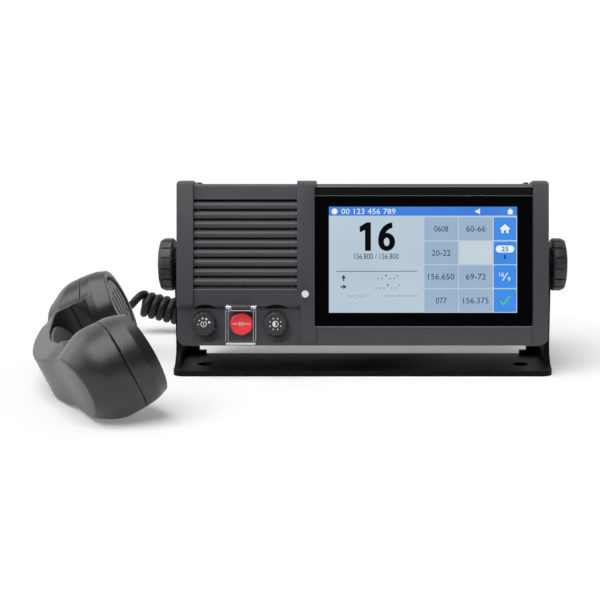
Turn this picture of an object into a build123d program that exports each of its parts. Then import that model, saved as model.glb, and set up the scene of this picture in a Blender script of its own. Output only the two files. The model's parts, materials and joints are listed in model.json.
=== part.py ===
"""VHF marine radio: a touch-screen control unit tilted in a U bracket, with a telephone-style handset.

Frame: millimetres, +X to the unit's right, -Y towards the user, +Z up.
The origin is on the floor, on the bottom face of the bracket, straight below the tilt axis.
The unit is drawn upright about its tilt axis and then tilted; the handset is drawn in its own
frame (x along it, y the way its caps face, z across it) and then laid down.
"""
from build123d import *
import math
import os

os.makedirs("parts", exist_ok=True)

# ---------------------------------------------------------------- clearances
FIT = 0.05          # radial play of pins, shafts and screws
SLIP = 0.3          # gap round a button, a panel or a glass in its opening
FACE_GAP = 0.05     # play between flat faces that slide on each other

# ---------------------------------------------------------------- screen, which sets the face's size
ACTIVE_W = 121.9        # visible picture
ACTIVE_H = 68.7
GLASS_LEFT = 8.95       # glass beside, above and below the picture
GLASS_RIGHT = 9.75
GLASS_ABOVE = 7.0
GLASS_BELOW = 8.7
GLASS_W = GLASS_LEFT + ACTIVE_W + GLASS_RIGHT
GLASS_H = GLASS_ABOVE + ACTIVE_H + GLASS_BELOW
GLASS_Y = -28.9         # front face of the glass
GLASS_T = 1.7
GLASS_CORNER_R = 1.6
GLASS_LAP = 0.7         # glass pocket cut into the middle rib
GLASS_SIDE_GAP = 0.4    # glass to the right rib
BROW_H = 9.9            # top of the body to the glass
BROW_WALL_H = 5.5       # sloped wall above the glass
CHIN_H = 12.7           # glass to the bottom of the body
GASKET_T = 0.5
WINDOW_MARGIN = 1.7
MODULE_MARGIN = 6.2
MODULE_T = 7.0

# ---------------------------------------------------------------- front bezel
LEFT_RIB_W = 10.7
GRILLE_W = 67.2         # grille section, between the left and the middle rib
MID_RIB_W = 12.3
RIGHT_RIB_W = 10.1
BODY_W = LEFT_RIB_W + GRILLE_W + MID_RIB_W - GLASS_LAP + GLASS_W + GLASS_SIDE_GAP + RIGHT_RIB_W
BODY_H = BROW_H + GLASS_H + CHIN_H
BODY_TOP = BODY_H / 2   # top of the three ribs above the tilt axis
BODY_BOTTOM = -BODY_H / 2
RIB_RISE = 2.0          # ribs above the sections between them
SECTION_TOP = BODY_TOP - RIB_RISE
FACE_Y = -32.0          # front of the ribs
SECTION_Y = -30.5       # front of the sections between the ribs
BEZEL_BACK = -12.0
BEZEL_WALL = 2.5
FRONT_WALL_BACK = -25.0
TOP_CORNER_R = 2.8
BOTTOM_CORNER_R = 5.5
CREASE_H = 26.7         # height of the lower face, which slopes back
CREASE_Z = BODY_BOTTOM + CREASE_H
CHIN_Z = BODY_BOTTOM + 3.1
CHIN_Y = -29.5
CHIN_BACK = -26.0
LEFT_RIB_X = -BODY_W / 2 + LEFT_RIB_W       # inner edge of the left rib
MID_RIB_X0 = LEFT_RIB_X + GRILLE_W
MID_RIB_X1 = MID_RIB_X0 + MID_RIB_W
RIGHT_RIB_X = BODY_W / 2 - RIGHT_RIB_W      # inner edge of the right rib
GLASS_X0 = MID_RIB_X1 - GLASS_LAP
GLASS_X1 = GLASS_X0 + GLASS_W
GLASS_Z1 = BODY_TOP - BROW_H
GLASS_Z0 = GLASS_Z1 - GLASS_H
WALL_TOP_Z = GLASS_Z1 + BROW_WALL_H         # upper edge of the sloped wall above the glass
ACTIVE_X = GLASS_X0 + GLASS_LEFT + ACTIVE_W / 2
ACTIVE_Z = GLASS_Z0 + GLASS_BELOW + ACTIVE_H / 2

# ---------------------------------------------------------------- bracket
ARM_T = 3.5         # thickness of an arm
ARM_GAP = 0.6       # side of the body to an arm
BRACKET_W = BODY_W + 2 * (ARM_GAP + ARM_T)
BASE_T = 3.6        # thickness of the base plate
BASE_FRONT = 34.0   # base plate in front of the tilt axis
BASE_REAR = 22.0    # base plate behind the tilt axis
BASE_CORNER_R = 7.0
ARM_HALF = 12.0     # half the arm's width, and its top radius
ARM_FLARE = 15.0    # concave foot of the arm's front edge
UNDER_GAP = 15.5    # floor to the upright body's bottom
PIVOT_Z = BODY_H / 2 + UNDER_GAP    # tilt axis above the floor
SCREW_INSET = 15.9  # screw holes inside the arms
SCREW_SPACING = BRACKET_W - 2 * (ARM_T + SCREW_INSET)
SCREW_Y = -12.8
SCREW_HOLE_R = 2.75
COUNTERSINK_R = 5.6
GUSSET_L = 13.0
GUSSET_H = 4.6
GUSSET_T = 3.5

# ---------------------------------------------------------------- tilt pivot and clamp knobs
TILT = 10.0         # rest position, degrees back from upright
STUD_R = 3.0
STUD_HOLE_R = 3.3
KNOB_R = 17.5
KNOB_T = 11.2
KNOB_GROOVES = 15
KNOB_GROOVE_DEPTH = 0.9
KNOB_CROWN_R = 4.0
WASHER_T = 1.1
WASHER_R = 10.0
INSERT_R = 5.5
INSERT_L = 10.0
BOSS_R = 11.0

# control recess, lower left
RECESS_RIGHT = MID_RIB_X0 + 2.3
RECESS_Y = -28.5    # floor of the recess
RECESS_TOP_Z = CREASE_Z - 2.6
ROTARY_Z = BODY_BOTTOM + 14.2
VOLUME_X = -BODY_W / 2 + 18.3
BUTTON_X = VOLUME_X + 23.8
DIMMER_X = VOLUME_X + 46.0
DISH_R = 12.5
DISH_DEPTH = 0.6

# ---------------------------------------------------------------- grille and loudspeaker
GRILLE_TOP = BODY_TOP - 3.9
GRILLE_BOTTOM = CREASE_Z + 10.0
GRILLE_BACK = -27.5
GRILLE_LEDGE = 3.6
SLOT_TOP_Z = GRILLE_TOP - 8.3   # upper edge of the first slot
SLOT_PITCH = 6.19
SLOT_H = 1.05
SLOT_COUNT = 10
SLAT_RELIEF = 1.5       # depth of the valley beside a slot
SLAT_BACK = -28.3
GRILLE_BAR = 2.0
CLOTH_T = 0.4
SPEAKER_FLANGE = GRILLE_W - 4.2     # side of its square flange
SPEAKER_FLANGE_T = 2.0
SPEAKER_R = SPEAKER_FLANGE / 2 - 4.0
CONE_DEPTH = 14.0
MAGNET_R = 19.0
MAGNET_T = 11.0

# ---------------------------------------------------------------- rear housing
HOUSING_STEP = 8.3      # sides of the housing inside the bezel's
HOUSING_W = BODY_W - 2 * HOUSING_STEP
HOUSING_TOP = BODY_TOP - 5.0
HOUSING_BOTTOM = BODY_BOTTOM + 6.0
HOUSING_WALL = 3.0
HOUSING_BACK = 50.0
HOUSING_EDGE_R = 5.0
FLANGE_HALF = BODY_W / 2 - 0.7
FLANGE_T = 3.0
FLANGE_TOP = BODY_TOP - 2.3
FLANGE_BOTTOM = BODY_BOTTOM + 0.9
SEAL_T = 1.0
SEAL_W = 9.5            # width of the seal at the sides
SEAL_H = 6.0            # its height at the top and bottom
TOP_LUG_X = HOUSING_W / 2 - 3.9
TOP_LUG_W = 2.8
TOP_LUG_Z = BODY_TOP + 0.4
FIN_H = 6.0
FIN_T = 2.4
FIN_MARGIN = 16.0       # side of the housing to the outer fins
FIN_COUNT = 17
FIN_PITCH = (HOUSING_W - 2 * FIN_MARGIN) / (FIN_COUNT - 1)
FIN_Z0 = -4.0
FIN_Z1 = HOUSING_TOP - 3.5
CASE_SCREW_X = BODY_W / 2 - 5.7
CASE_SCREW_Z = BODY_H / 2 - 10.0
CASE_SCREW_R = 1.5
CASE_HEAD_R = 2.6
CASE_HEAD_T = 2.0
CASE_SCREW_L = 12.0
CASE_BOSS_R = 4.0

# ---------------------------------------------------------------- boards
BOARD_T = 1.6
MAIN_BOARD_Y = 8.0
MAIN_BOARD_X = HOUSING_W / 2 - HOUSING_WALL - 9.0
MAIN_BOARD_Z = -HOUSING_BOTTOM - HOUSING_WALL - 4.5
POST_R = 4.0
POST_X = MAIN_BOARD_X - 8.0
POST_Z = MAIN_BOARD_Z - 6.0
BOARD_SCREW_R = 1.25
BOARD_HEAD_R = 2.4
BOARD_HEAD_T = 1.5
BOARD_SCREW_L = 7.0
DRIVE_W = 0.6           # cross in the screw heads
DRIVE_DEPTH = 0.6
CONTROL_BOARD_Y = -18.0
CONTROL_X0 = -BODY_W / 2 + 4.3
CONTROL_X1 = MID_RIB_X0 + 0.4
CONTROL_Z0 = BODY_BOTTOM + 4.0
CONTROL_Z1 = CREASE_Z - 1.2
STANDOFF_R = 2.6
STANDOFF_XS = (BUTTON_X - 12.3, BUTTON_X + 11.7)
STANDOFF_ZS = (CREASE_Z - 4.2, BODY_BOTTOM + 6.7)

# ---------------------------------------------------------------- rotary knobs, button, cover
ROTARY_R = 7.4
ROTARY_T = 8.6
ROTARY_FLUTES = 14
ROTARY_FLUTE_R = 0.9
ROTARY_EDGE = 0.8
ROTARY_STANDOFF = 0.4
SHAFT_R = 2.0
SHAFT_SEAT = 6.0        # how far the shaft goes into the knob
ENCODER_W = 12.0
ENCODER_T = 6.5
PUSH_TRAVEL = 1.0       # room behind a rotary knob, a little more than its travel
BUTTON_R = 7.35
BUTTON_PROUD = 4.6
BUTTON_FLANGE_R = 8.4
BUTTON_FLANGE_T = 1.2
BUTTON_STEM_R = 1.6
STEM_SEAT = 0.4         # stem inside the switch at rest
SWITCH_W = 6.2
SWITCH_T = 3.4
COVER_W = 20.1
COVER_BOTTOM = BODY_BOTTOM + 0.7
COVER_DEPTH = 9.6       # front pane above the floor of the recess
COVER_WALL = 1.3
COVER_SILL = 2.0
COVER_CORNER_R = 1.2
HINGE_Z = CREASE_Z - 1.8
HINGE_Y = -35.6
HINGE_PIN_R = 0.8
KNUCKLE_R = 1.7
KNUCKLE_L = 3.6

# ---------------------------------------------------------------- rear sockets and plug
SOCKET_Z = -24.0
POWER_X = -20.0
HANDSET_SOCKET_X = HOUSING_W / 2 - 27.0
SOCKET_R = 7.0
SOCKET_FLANGE_R = 10.0
SOCKET_FLANGE_T = 2.0
SOCKET_L = 8.0
GROUND_X = 40.0
GROUND_R = 2.5
GROUND_L = 13.0
NUT_ACROSS = 8.0
NUT_T = 4.0
PLUG_R = 8.6
PLUG_L = 16.0
PLUG_TAIL_L = 12.0
CORD_R = 2.5

# ---------------------------------------------------------------- handset, in its own frame
CAP_X = 80.6            # middle of each cap along the handset
CAP_CANT = 12.5         # degrees that each cap face leans towards the middle
CAP_RIM_R = 25.1        # radius of a cap's rim
CAP_DRAFT_DEPTH = 15.0  # the cap widens from its rim to the head over this depth
HEAD_X = 82.6           # middle of each round head
HEAD_R = 28.4           # radius of each round head, seen from above
GRIP_HALF = 21.5        # half width of the grip
NECK_R = 14.0           # concave corner between grip and head, seen from above
HOLLOW_DEPTH = 47.5     # cap rims to the inner side of the grip
HOLLOW_CURVE_R = 159.0  # long curve of the grip's inner side
BACK_DEPTH = 61.8       # cap rims to the back of the grip
BACK_HALF = 13.2        # half width of the back facet
HEEL_DEPTH = 41.0       # cap rims to the back at the ends
HEEL_RISE = 7.0         # back of the heel towards the end
SEAM_INNER = 31.5       # parting line below the caps: at the inner flank
SEAM_MIDDLE = 16.0      # at the middle of a cap
SEAM_OUTER = 11.0       # at the outer end
SHELL_WALL = 2.4
HANDSET_ORIGIN = (-145.8, -58.2, 38.4)  # between the middles of the two cap rims
HANDSET_YAW = 14.3      # degrees that it points to the left of straight back
HANDSET_ROLL = 25.0     # degrees that its caps look up
CAPSULE_R = 17.0
CAPSULE_T = 8.0
MIC_R = 5.0
MIC_T = 6.0
CAP_RECESS_R = 21.0
CAP_RECESS = 1.2
CAP_SLOTS = 4
CAP_SLOT_W = 1.4
CAP_SLOT_PITCH = 4.2
CAP_SLOT_L = 26.0
PADDLE_L = 84.0
PADDLE_W = 32.0
PADDLE_X = 2.0
PADDLE_EDGE = 0.8       # its edge above the grip
PADDLE_CROWN = 3.6      # its middle above its edge
PADDLE_T = 2.2
PADDLE_PIN_R = 1.2
PADDLE_PIN_INSET = 6.0  # end of the paddle to its pin
PADDLE_BOSS_HALF = 10.0 # half length of its hinge boss
PIN_HALF = 14.0
PADDLE_GAP = 0.6        # room round the paddle for its swing
PADDLE_SWING = 1.5      # degrees
GLAND_L = 20.0
GLAND_R0 = 4.6
GLAND_R1 = 3.4
GLAND_DROP = 22.0       # gland below the cap rims
HANDSET_BOARD_L = 58.0
HANDSET_BOARD_W = 22.0
SWITCH_X = 17.0         # talk switch along the handset

# ---------------------------------------------------------------- cord routes, world frame
COIL_R = 10.0           # outer radius of the curly cord
COIL_ROUTE = [
    (-166.0, 110.0, 23.0),
    (-141.0, 109.5, 16.5),
    (-108.0, 109.0, 10.6),
    (-64.0, 109.5, 10.1),
    (-20.0, 108.5, 11.5),
    (12.0, 105.5, 18.0),
    (31.0, 103.8, 27.0),
    (46.0, 104.5, 31.0),
    (60.5, 104.5, 31.0),
]
# between the handset's gland and the coil
HANDSET_LEAD_ROUTE = [
    (-199.7, 72.54, 29.1),
    (-199.4, 87.5, 29.1),
    (-194.5, 99.5, 28.9),
    (-185.5, 107.5, 27.6),
    (-174.71, 110.17, 25.26),
]
# between the plug behind the unit and the coil
UNIT_LEAD_ROUTE = [
    (85.0, 90.56, 28.66),
    (79.9, 99.39, 29.5),
    (71.07, 104.5, 31.0),
]
SWEEP_STEP = 0.45       # share of a run that a corner's arc may take


# ================================================================ helpers
def block(x0, x1, y0, y1, z0, z1):
    """A box between two corners."""
    return Pos((x0 + x1) / 2, (y0 + y1) / 2, (z0 + z1) / 2) * Box(x1 - x0, y1 - y0, z1 - z0)


def rod_y(x, z, y0, y1, radius):
    """A cylinder along Y."""
    return Pos(x, (y0 + y1) / 2, z) * Rot(90, 0, 0) * Cylinder(radius, y1 - y0)


def rod_x(y, z, x0, x1, radius):
    """A cylinder along X."""
    return Pos((x0 + x1) / 2, y, z) * Rot(0, 90, 0) * Cylinder(radius, x1 - x0)


def plate_y(sketch, y0, y1):
    """A sketch drawn in X and Z, made solid between two values of Y."""
    return extrude(Plane.XZ.offset(-y1) * sketch, y1 - y0)


def plate_x(sketch, x0, x1):
    """A sketch drawn in Y and Z, made solid between two values of X."""
    return extrude(Plane.YZ.offset(x0) * sketch, x1 - x0)


def outline(points):
    """A closed polygon through the points as they are given."""
    return make_face(Polyline(*points, close=True))


def rounded(x0, x1, z0, z1, radius):
    """A rectangle with round corners, drawn in X and Z."""
    return Pos((x0 + x1) / 2, (z0 + z1) / 2) * RectangleRounded(x1 - x0, z1 - z0, radius)


def revolve_y(points, x, z):
    """A profile of (radius, y) points turned about an axis along Y."""
    profile = Plane.XY * outline(points)
    return Pos(x, 0, z) * revolve(profile, Axis.Y)


def tube(points, radius, name):
    """A cord: straight runs joined by arcs as large as the runs allow."""
    stops = [Vector(*p) for p in points]
    runs = [b - a for a, b in zip(stops, stops[1:])]
    radii = []
    for a, b in zip(runs, runs[1:]):
        turn = math.radians(a.get_angle(b))
        radii.append(SWEEP_STEP * min(a.length, b.length) / math.tan(turn / 2))
    path = FilletPolyline(*points, radius=radii)
    start = Plane(origin=path @ 0, z_dir=path % 0)
    solid = sweep(start * Circle(radius), path=path)
    share = solid.volume / (math.pi * radius ** 2 * path.length)
    print(name, "length", round(path.length, 1), "radii", [round(r, 1) for r in radii])
    print(name, "volume over section x length", round(share, 4))
    return solid


PLACE_UNIT = Pos(0, 0, PIVOT_Z) * Rot(-TILT, 0, 0)


def handset_plane():
    """The handset's own frame, laid on the floor."""
    yaw = math.radians(HANDSET_YAW)
    roll = math.radians(HANDSET_ROLL)
    along = Vector(-math.sin(yaw), math.cos(yaw), 0)
    side = Vector(math.cos(yaw), math.sin(yaw), 0)
    facing = side * math.cos(roll) + Vector(0, 0, 1) * math.sin(roll)
    return Plane(origin=HANDSET_ORIGIN, x_dir=along, z_dir=along.cross(facing))


PLACE_HANDSET = handset_plane().location
PLACE_WORLD = Pos(0, 0, 0)


def save(node, shape, place):
    """Write one node to its own file, where it lies in the whole."""
    export_step(place * shape, "parts/" + node + ".step")


# ================================================================ bracket
ARM_X0 = BRACKET_W / 2 - ARM_T      # inner face of the right arm
ARM_X1 = BRACKET_W / 2


def arm_sketch():
    """An arm from the side: wide foot, concave front, round top."""
    flare_top = BASE_T + ARM_FLARE
    rear_foot = min(BASE_REAR, ARM_HALF + ARM_FLARE / 2)
    with BuildSketch() as arm:
        with BuildLine():
            Polyline((-BASE_FRONT, 0), (-BASE_FRONT, BASE_T), (-ARM_HALF - ARM_FLARE, BASE_T))
            RadiusArc((-ARM_HALF - ARM_FLARE, BASE_T), (-ARM_HALF, flare_top), -ARM_FLARE)
            Line((-ARM_HALF, flare_top), (-ARM_HALF, PIVOT_Z))
            ThreePointArc((-ARM_HALF, PIVOT_Z), (0, PIVOT_Z + ARM_HALF), (ARM_HALF, PIVOT_Z))
            Line((ARM_HALF, PIVOT_Z), (ARM_HALF, flare_top))
            ThreePointArc(
                (ARM_HALF, flare_top),
                (ARM_HALF + ARM_FLARE * 0.12, BASE_T + ARM_FLARE * 0.38),
                (rear_foot, BASE_T),
            )
            Polyline((rear_foot, BASE_T), (BASE_REAR, BASE_T), (BASE_REAR, 0), (-BASE_FRONT, 0))
        make_face()
    return arm.sketch


def mounting_bracket():
    """The U bracket: base plate, two arms, rear gussets, countersunk screw holes."""
    base = block(-ARM_X1, ARM_X1, -BASE_FRONT, BASE_REAR, 0, BASE_T)
    arm = arm_sketch()
    body = base + plate_x(arm, ARM_X0, ARM_X1) + plate_x(arm, -ARM_X1, -ARM_X0)
    gusset = outline([
        (ARM_X0, BASE_T), (ARM_X0 - GUSSET_L, BASE_T),
        (ARM_X0 - GUSSET_L, BASE_T + GUSSET_H / 3), (ARM_X0, BASE_T + GUSSET_H),
    ])
    gusset_y = BASE_REAR - GUSSET_T - 1.5
    right = plate_y(gusset, gusset_y, gusset_y + GUSSET_T)
    body += right + mirror(right, Plane.YZ)
    plan = Pos(0, (BASE_REAR - BASE_FRONT) / 2) * RectangleRounded(
        BRACKET_W, BASE_FRONT + BASE_REAR, BASE_CORNER_R)
    body &= extrude(plan, PIVOT_Z + ARM_HALF + 1)
    for side in (-1, 1):
        x = side * SCREW_SPACING / 2
        body -= Pos(x, SCREW_Y, BASE_T / 2) * Cylinder(SCREW_HOLE_R, BASE_T)
        depth = COUNTERSINK_R - SCREW_HOLE_R
        body -= Pos(x, SCREW_Y, BASE_T - depth / 2) * Cone(SCREW_HOLE_R, COUNTERSINK_R, depth)
        body -= rod_x(0, PIVOT_Z, side * ARM_X0 - 2 * ARM_T, side * ARM_X0 + 2 * ARM_T, STUD_HOLE_R)
    return body


# ================================================================ tilt pivots
BOSS_X = ARM_X0 - FACE_GAP - WASHER_T     # outer face of the pivot boss
INSERT_X0 = BOSS_X - INSERT_L


def friction_washer(side):
    """A flat washer between the pivot boss and the arm."""
    x0, x1 = sorted((side * BOSS_X, side * (BOSS_X + WASHER_T)))
    return rod_x(0, 0, x0, x1, WASHER_R) - rod_x(0, 0, x0, x1, STUD_HOLE_R)


def pivot_inserts():
    """Two threaded brass inserts in the pivot bosses."""
    pieces = []
    for side in (-1, 1):
        x0, x1 = sorted((side * INSERT_X0, side * BOSS_X))
        pieces.append(rod_x(0, 0, x0, x1, INSERT_R) - rod_x(0, 0, x0, x1, STUD_R + FIT))
    return pieces[0] + pieces[1]


KNOB_X0 = ARM_X1 + 2 * FACE_GAP
KNOB_X1 = KNOB_X0 + KNOB_T


def clamp_knob(side):
    """A round grip with a domed crown and short grooves round its rim."""
    hub = STUD_R * 2.6
    profile = [
        (STUD_R + FIT, KNOB_X0), (hub, KNOB_X0), (hub, KNOB_X0 + 0.8), (KNOB_R - 1.2, KNOB_X0 + 0.8),
        (KNOB_R, KNOB_X0 + 2.0), (KNOB_R, KNOB_X1 - KNOB_CROWN_R),
        (KNOB_R - 1.3, KNOB_X1 - 0.35 * KNOB_CROWN_R),
        (KNOB_R - KNOB_CROWN_R, KNOB_X1 - 0.6), (KNOB_R * 0.5, KNOB_X1 - 0.1), (0, KNOB_X1),
        (0, KNOB_X1 - 3.0), (STUD_R + FIT, KNOB_X1 - 3.0),
    ]
    knob = Rot(0, 0, -90) * revolve(outline(profile), Axis.Y)
    cutter = block(KNOB_X0, KNOB_X1 - 0.5, KNOB_R - KNOB_GROOVE_DEPTH, KNOB_R + 2, -0.6, 0.6)
    for k in range(KNOB_GROOVES):
        knob -= Rot(360 / KNOB_GROOVES * k, 0, 0) * cutter
    return knob if side > 0 else mirror(knob, Plane.YZ)


def clamp_stud(side):
    """The threaded stud moulded into a clamp knob."""
    x0, x1 = sorted((side * (INSERT_X0 + 1.0), side * (KNOB_X1 - 3.0)))
    return rod_x(0, 0, x0, x1, STUD_R)


# ================================================================ front bezel
def bezel_outline():
    """The front view: small round corners at the top, larger ones at the bottom."""
    with BuildSketch() as view:
        Rectangle(BODY_W, BODY_H)
        low = view.vertices().group_by(Axis.Y)[0]
        fillet(low, BOTTOM_CORNER_R)
        high = view.vertices().group_by(Axis.Y)[-1]
        fillet(high, TOP_CORNER_R)
    return view.sketch


def side_section(front, top):
    """The bezel from the side, closed at the back."""
    return outline([
        (BEZEL_BACK, top), (front + TOP_CORNER_R, top), (front + 0.8, top - 0.8),
        (front, top - TOP_CORNER_R), (front, CREASE_Z), (front - FACE_Y + CHIN_Y, CHIN_Z),
        (CHIN_BACK, BODY_BOTTOM), (BEZEL_BACK, BODY_BOTTOM),
    ])


def standoff_places():
    return [(x, z) for x in STANDOFF_XS for z in STANDOFF_ZS]


def corner_places():
    return [(sx * CASE_SCREW_X, sz * CASE_SCREW_Z) for sx in (-1, 1) for sz in (-1, 1)]


def front_bezel():
    """The moulded front: ribs, grille opening, glass pocket, control recess, bosses."""
    half = BODY_W / 2
    body = plate_x(side_section(SECTION_Y, SECTION_TOP), -half, half)
    rib = side_section(FACE_Y, BODY_TOP)
    for x0, x1 in ((-half, LEFT_RIB_X), (MID_RIB_X0, MID_RIB_X1), (RIGHT_RIB_X, half)):
        body += plate_x(rib, x0, x1)
    body &= plate_y(bezel_outline(), FACE_Y - 1, BEZEL_BACK)
    inner = half - BEZEL_WALL
    cavity_top = SECTION_TOP - BEZEL_WALL
    cavity_bottom = BODY_BOTTOM + BEZEL_WALL
    cavity = plate_y(
        rounded(-inner, inner, cavity_bottom, cavity_top, 3.0), FRONT_WALL_BACK, BEZEL_BACK)
    cavity -= block(-half, half, FRONT_WALL_BACK - 1, FRONT_WALL_BACK + 2.2, cavity_bottom, CHIN_Z + 0.6)
    body -= cavity
    # control recess with its sloped upper wall, and a finger dish round each rotary knob
    recess = outline([
        (FACE_Y - 2, CREASE_Z + 0.6), (FACE_Y, CREASE_Z), (RECESS_Y, RECESS_TOP_Z),
        (RECESS_Y, BODY_BOTTOM - 1), (FACE_Y - 2, BODY_BOTTOM - 1),
    ])
    body -= plate_x(recess, -half - 1, RECESS_RIGHT)
    for x in (VOLUME_X, DIMMER_X):
        body -= rod_y(x, ROTARY_Z, FACE_Y - 2, RECESS_Y + DISH_DEPTH, DISH_R)
        body -= rod_y(x, ROTARY_Z, FACE_Y, FRONT_WALL_BACK + 1, SHAFT_R + SLIP)
    body -= rod_y(BUTTON_X, ROTARY_Z, FACE_Y, FRONT_WALL_BACK + 1, BUTTON_R + SLIP)
    # grille pocket with a ledge
    body -= block(LEFT_RIB_X, MID_RIB_X0, FACE_Y - 1, GRILLE_BACK, GRILLE_BOTTOM, GRILLE_TOP)
    body -= block(
        LEFT_RIB_X + GRILLE_LEDGE, MID_RIB_X0 - GRILLE_LEDGE, GRILLE_BACK - 1, FRONT_WALL_BACK + 1,
        GRILLE_BOTTOM + GRILLE_LEDGE, GRILLE_TOP - GRILLE_LEDGE)
    # sloped wall above the glass, glass pocket, window
    shelf = outline([
        (FACE_Y - 1, WALL_TOP_Z), (SECTION_Y, WALL_TOP_Z), (GLASS_Y, GLASS_Z1 + SLIP),
        (GLASS_Y, GLASS_Z0 - SLIP), (FACE_Y - 1, GLASS_Z0 - SLIP),
    ])
    body -= plate_x(shelf, GLASS_X0 - SLIP, GLASS_X1 + SLIP)
    pocket = rounded(
        GLASS_X0 - SLIP, GLASS_X1 + SLIP, GLASS_Z0 - SLIP, GLASS_Z1 + SLIP, GLASS_CORNER_R + SLIP)
    body -= plate_y(pocket, GLASS_Y - 1, GLASS_Y + GLASS_T + GASKET_T)
    half_w = ACTIVE_W / 2 + WINDOW_MARGIN
    half_h = ACTIVE_H / 2 + WINDOW_MARGIN
    body -= block(
        ACTIVE_X - half_w, ACTIVE_X + half_w, GLASS_Y, FRONT_WALL_BACK + 1,
        ACTIVE_Z - half_h, ACTIVE_Z + half_h)
    # bosses for the case screws and the control board
    for x, z in corner_places():
        body += rod_y(x, z, FRONT_WALL_BACK - 1, BEZEL_BACK, CASE_BOSS_R) & plate_y(
            bezel_outline(), FACE_Y, BEZEL_BACK)
        body -= rod_y(x, z, BEZEL_BACK - CASE_SCREW_L + FLANGE_T, BEZEL_BACK, CASE_SCREW_R + FIT)
    for x, z in standoff_places():
        body += rod_y(x, z, FRONT_WALL_BACK - 1, CONTROL_BOARD_Y, STANDOFF_R)
        body -= rod_y(x, z, CONTROL_BOARD_Y - BOARD_SCREW_L, CONTROL_BOARD_Y, BOARD_SCREW_R + FIT)
    body += hinge_lug()
    return body


# ================================================================ distress cover
COVER_X0 = BUTTON_X - COVER_W / 2
COVER_X1 = BUTTON_X + COVER_W / 2


def hinge_lug():
    """The lug on the recess floor that holds the cover's pin."""
    x0 = COVER_X0 + KNUCKLE_L + SLIP
    x1 = COVER_X1 - KNUCKLE_L - SLIP
    lug = rod_x(HINGE_Y, HINGE_Z, x0, x1, KNUCKLE_R)
    lug += block(x0, x1, HINGE_Y, RECESS_Y + 1, HINGE_Z - KNUCKLE_R, HINGE_Z + KNUCKLE_R)
    return lug - rod_x(HINGE_Y, HINGE_Z, x0, x1, HINGE_PIN_R)


def cover_hinge_pin():
    return rod_x(HINGE_Y, HINGE_Z, COVER_X0 + 0.5, COVER_X1 - 0.5, HINGE_PIN_R)


def distress_cover():
    """A clear tray over the button: front pane, two sides, a thick sill, two knuckles."""
    floor = RECESS_Y - SLIP
    front = RECESS_Y - COVER_DEPTH
    top = HINGE_Z + KNUCKLE_R
    tray = plate_y(rounded(COVER_X0, COVER_X1, COVER_BOTTOM, top, COVER_CORNER_R), front, floor)
    tray -= block(
        COVER_X0 + COVER_WALL, COVER_X1 - COVER_WALL, front + COVER_WALL, floor + 1,
        COVER_BOTTOM + COVER_SILL, top + 1)
    x0 = COVER_X0 + KNUCKLE_L
    x1 = COVER_X1 - KNUCKLE_L
    # the pane starts below the lug, and the sides stop short of the recess's upper wall
    reach = KNUCKLE_R + SLIP
    tray -= block(COVER_X0 - 1, COVER_X1 + 1, front - 1, floor + 1, HINGE_Z - reach, top + 1)
    for a, b in ((COVER_X0, x0), (x1, COVER_X1)):
        arm = rod_x(HINGE_Y, HINGE_Z, a, b, KNUCKLE_R)
        arm += block(a, b, front, HINGE_Y, HINGE_Z - reach - 0.5, HINGE_Z)
        tray += arm
    return tray - rod_x(HINGE_Y, HINGE_Z, COVER_X0, COVER_X1, HINGE_PIN_R + FIT)


# ================================================================ controls
def encoder(x):
    """A rotary encoder on the control board, bored for its push shaft."""
    half = ENCODER_W / 2
    y0 = CONTROL_BOARD_Y - ENCODER_T
    body = block(x - half, x + half, y0, CONTROL_BOARD_Y, ROTARY_Z - half, ROTARY_Z + half)
    return body - rod_y(x, ROTARY_Z, y0 - 1, CONTROL_BOARD_Y - 1.0, SHAFT_R + FIT)


ROTARY_BACK = RECESS_Y + DISH_DEPTH - ROTARY_STANDOFF - PUSH_TRAVEL
ROTARY_FRONT = ROTARY_BACK - ROTARY_T


def rotary_shaft(x):
    """The push shaft that carries a rotary knob."""
    return rod_y(x, ROTARY_Z, ROTARY_BACK - SHAFT_SEAT, CONTROL_BOARD_Y - 1.3 - PUSH_TRAVEL, SHAFT_R)


def rotary_knob(x):
    """A fluted knob with a flat face, bored for its shaft."""
    knob = revolve_y([
        (0, ROTARY_FRONT), (ROTARY_R - ROTARY_EDGE, ROTARY_FRONT),
        (ROTARY_R, ROTARY_FRONT + ROTARY_EDGE),
        (ROTARY_R, ROTARY_BACK), (0, ROTARY_BACK),
    ], x, ROTARY_Z)
    for k in range(ROTARY_FLUTES):
        angle = 2 * math.pi * (k + 0.5) / ROTARY_FLUTES
        fx = x + (ROTARY_R + 0.25) * math.cos(angle)
        fz = ROTARY_Z + (ROTARY_R + 0.25) * math.sin(angle)
        knob -= rod_y(fx, fz, ROTARY_FRONT - 1, ROTARY_BACK + 1, ROTARY_FLUTE_R)
    return knob - rod_y(x, ROTARY_Z, ROTARY_BACK - SHAFT_SEAT, ROTARY_BACK + 1, SHAFT_R + FIT)


SWITCH_Y0 = CONTROL_BOARD_Y - SWITCH_T


def distress_button():
    """The red button: cap, retaining flange behind the wall, stem."""
    front = RECESS_Y - BUTTON_PROUD
    flange = FRONT_WALL_BACK + 0.1
    return revolve_y([
        (0, front), (BUTTON_R - 0.8, front), (BUTTON_R, front + 0.8), (BUTTON_R, flange),
        (BUTTON_FLANGE_R, flange), (BUTTON_FLANGE_R, flange + BUTTON_FLANGE_T),
        (BUTTON_STEM_R, flange + BUTTON_FLANGE_T), (BUTTON_STEM_R, SWITCH_Y0 + STEM_SEAT),
        (0, SWITCH_Y0 + STEM_SEAT),
    ], BUTTON_X, ROTARY_Z)


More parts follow.
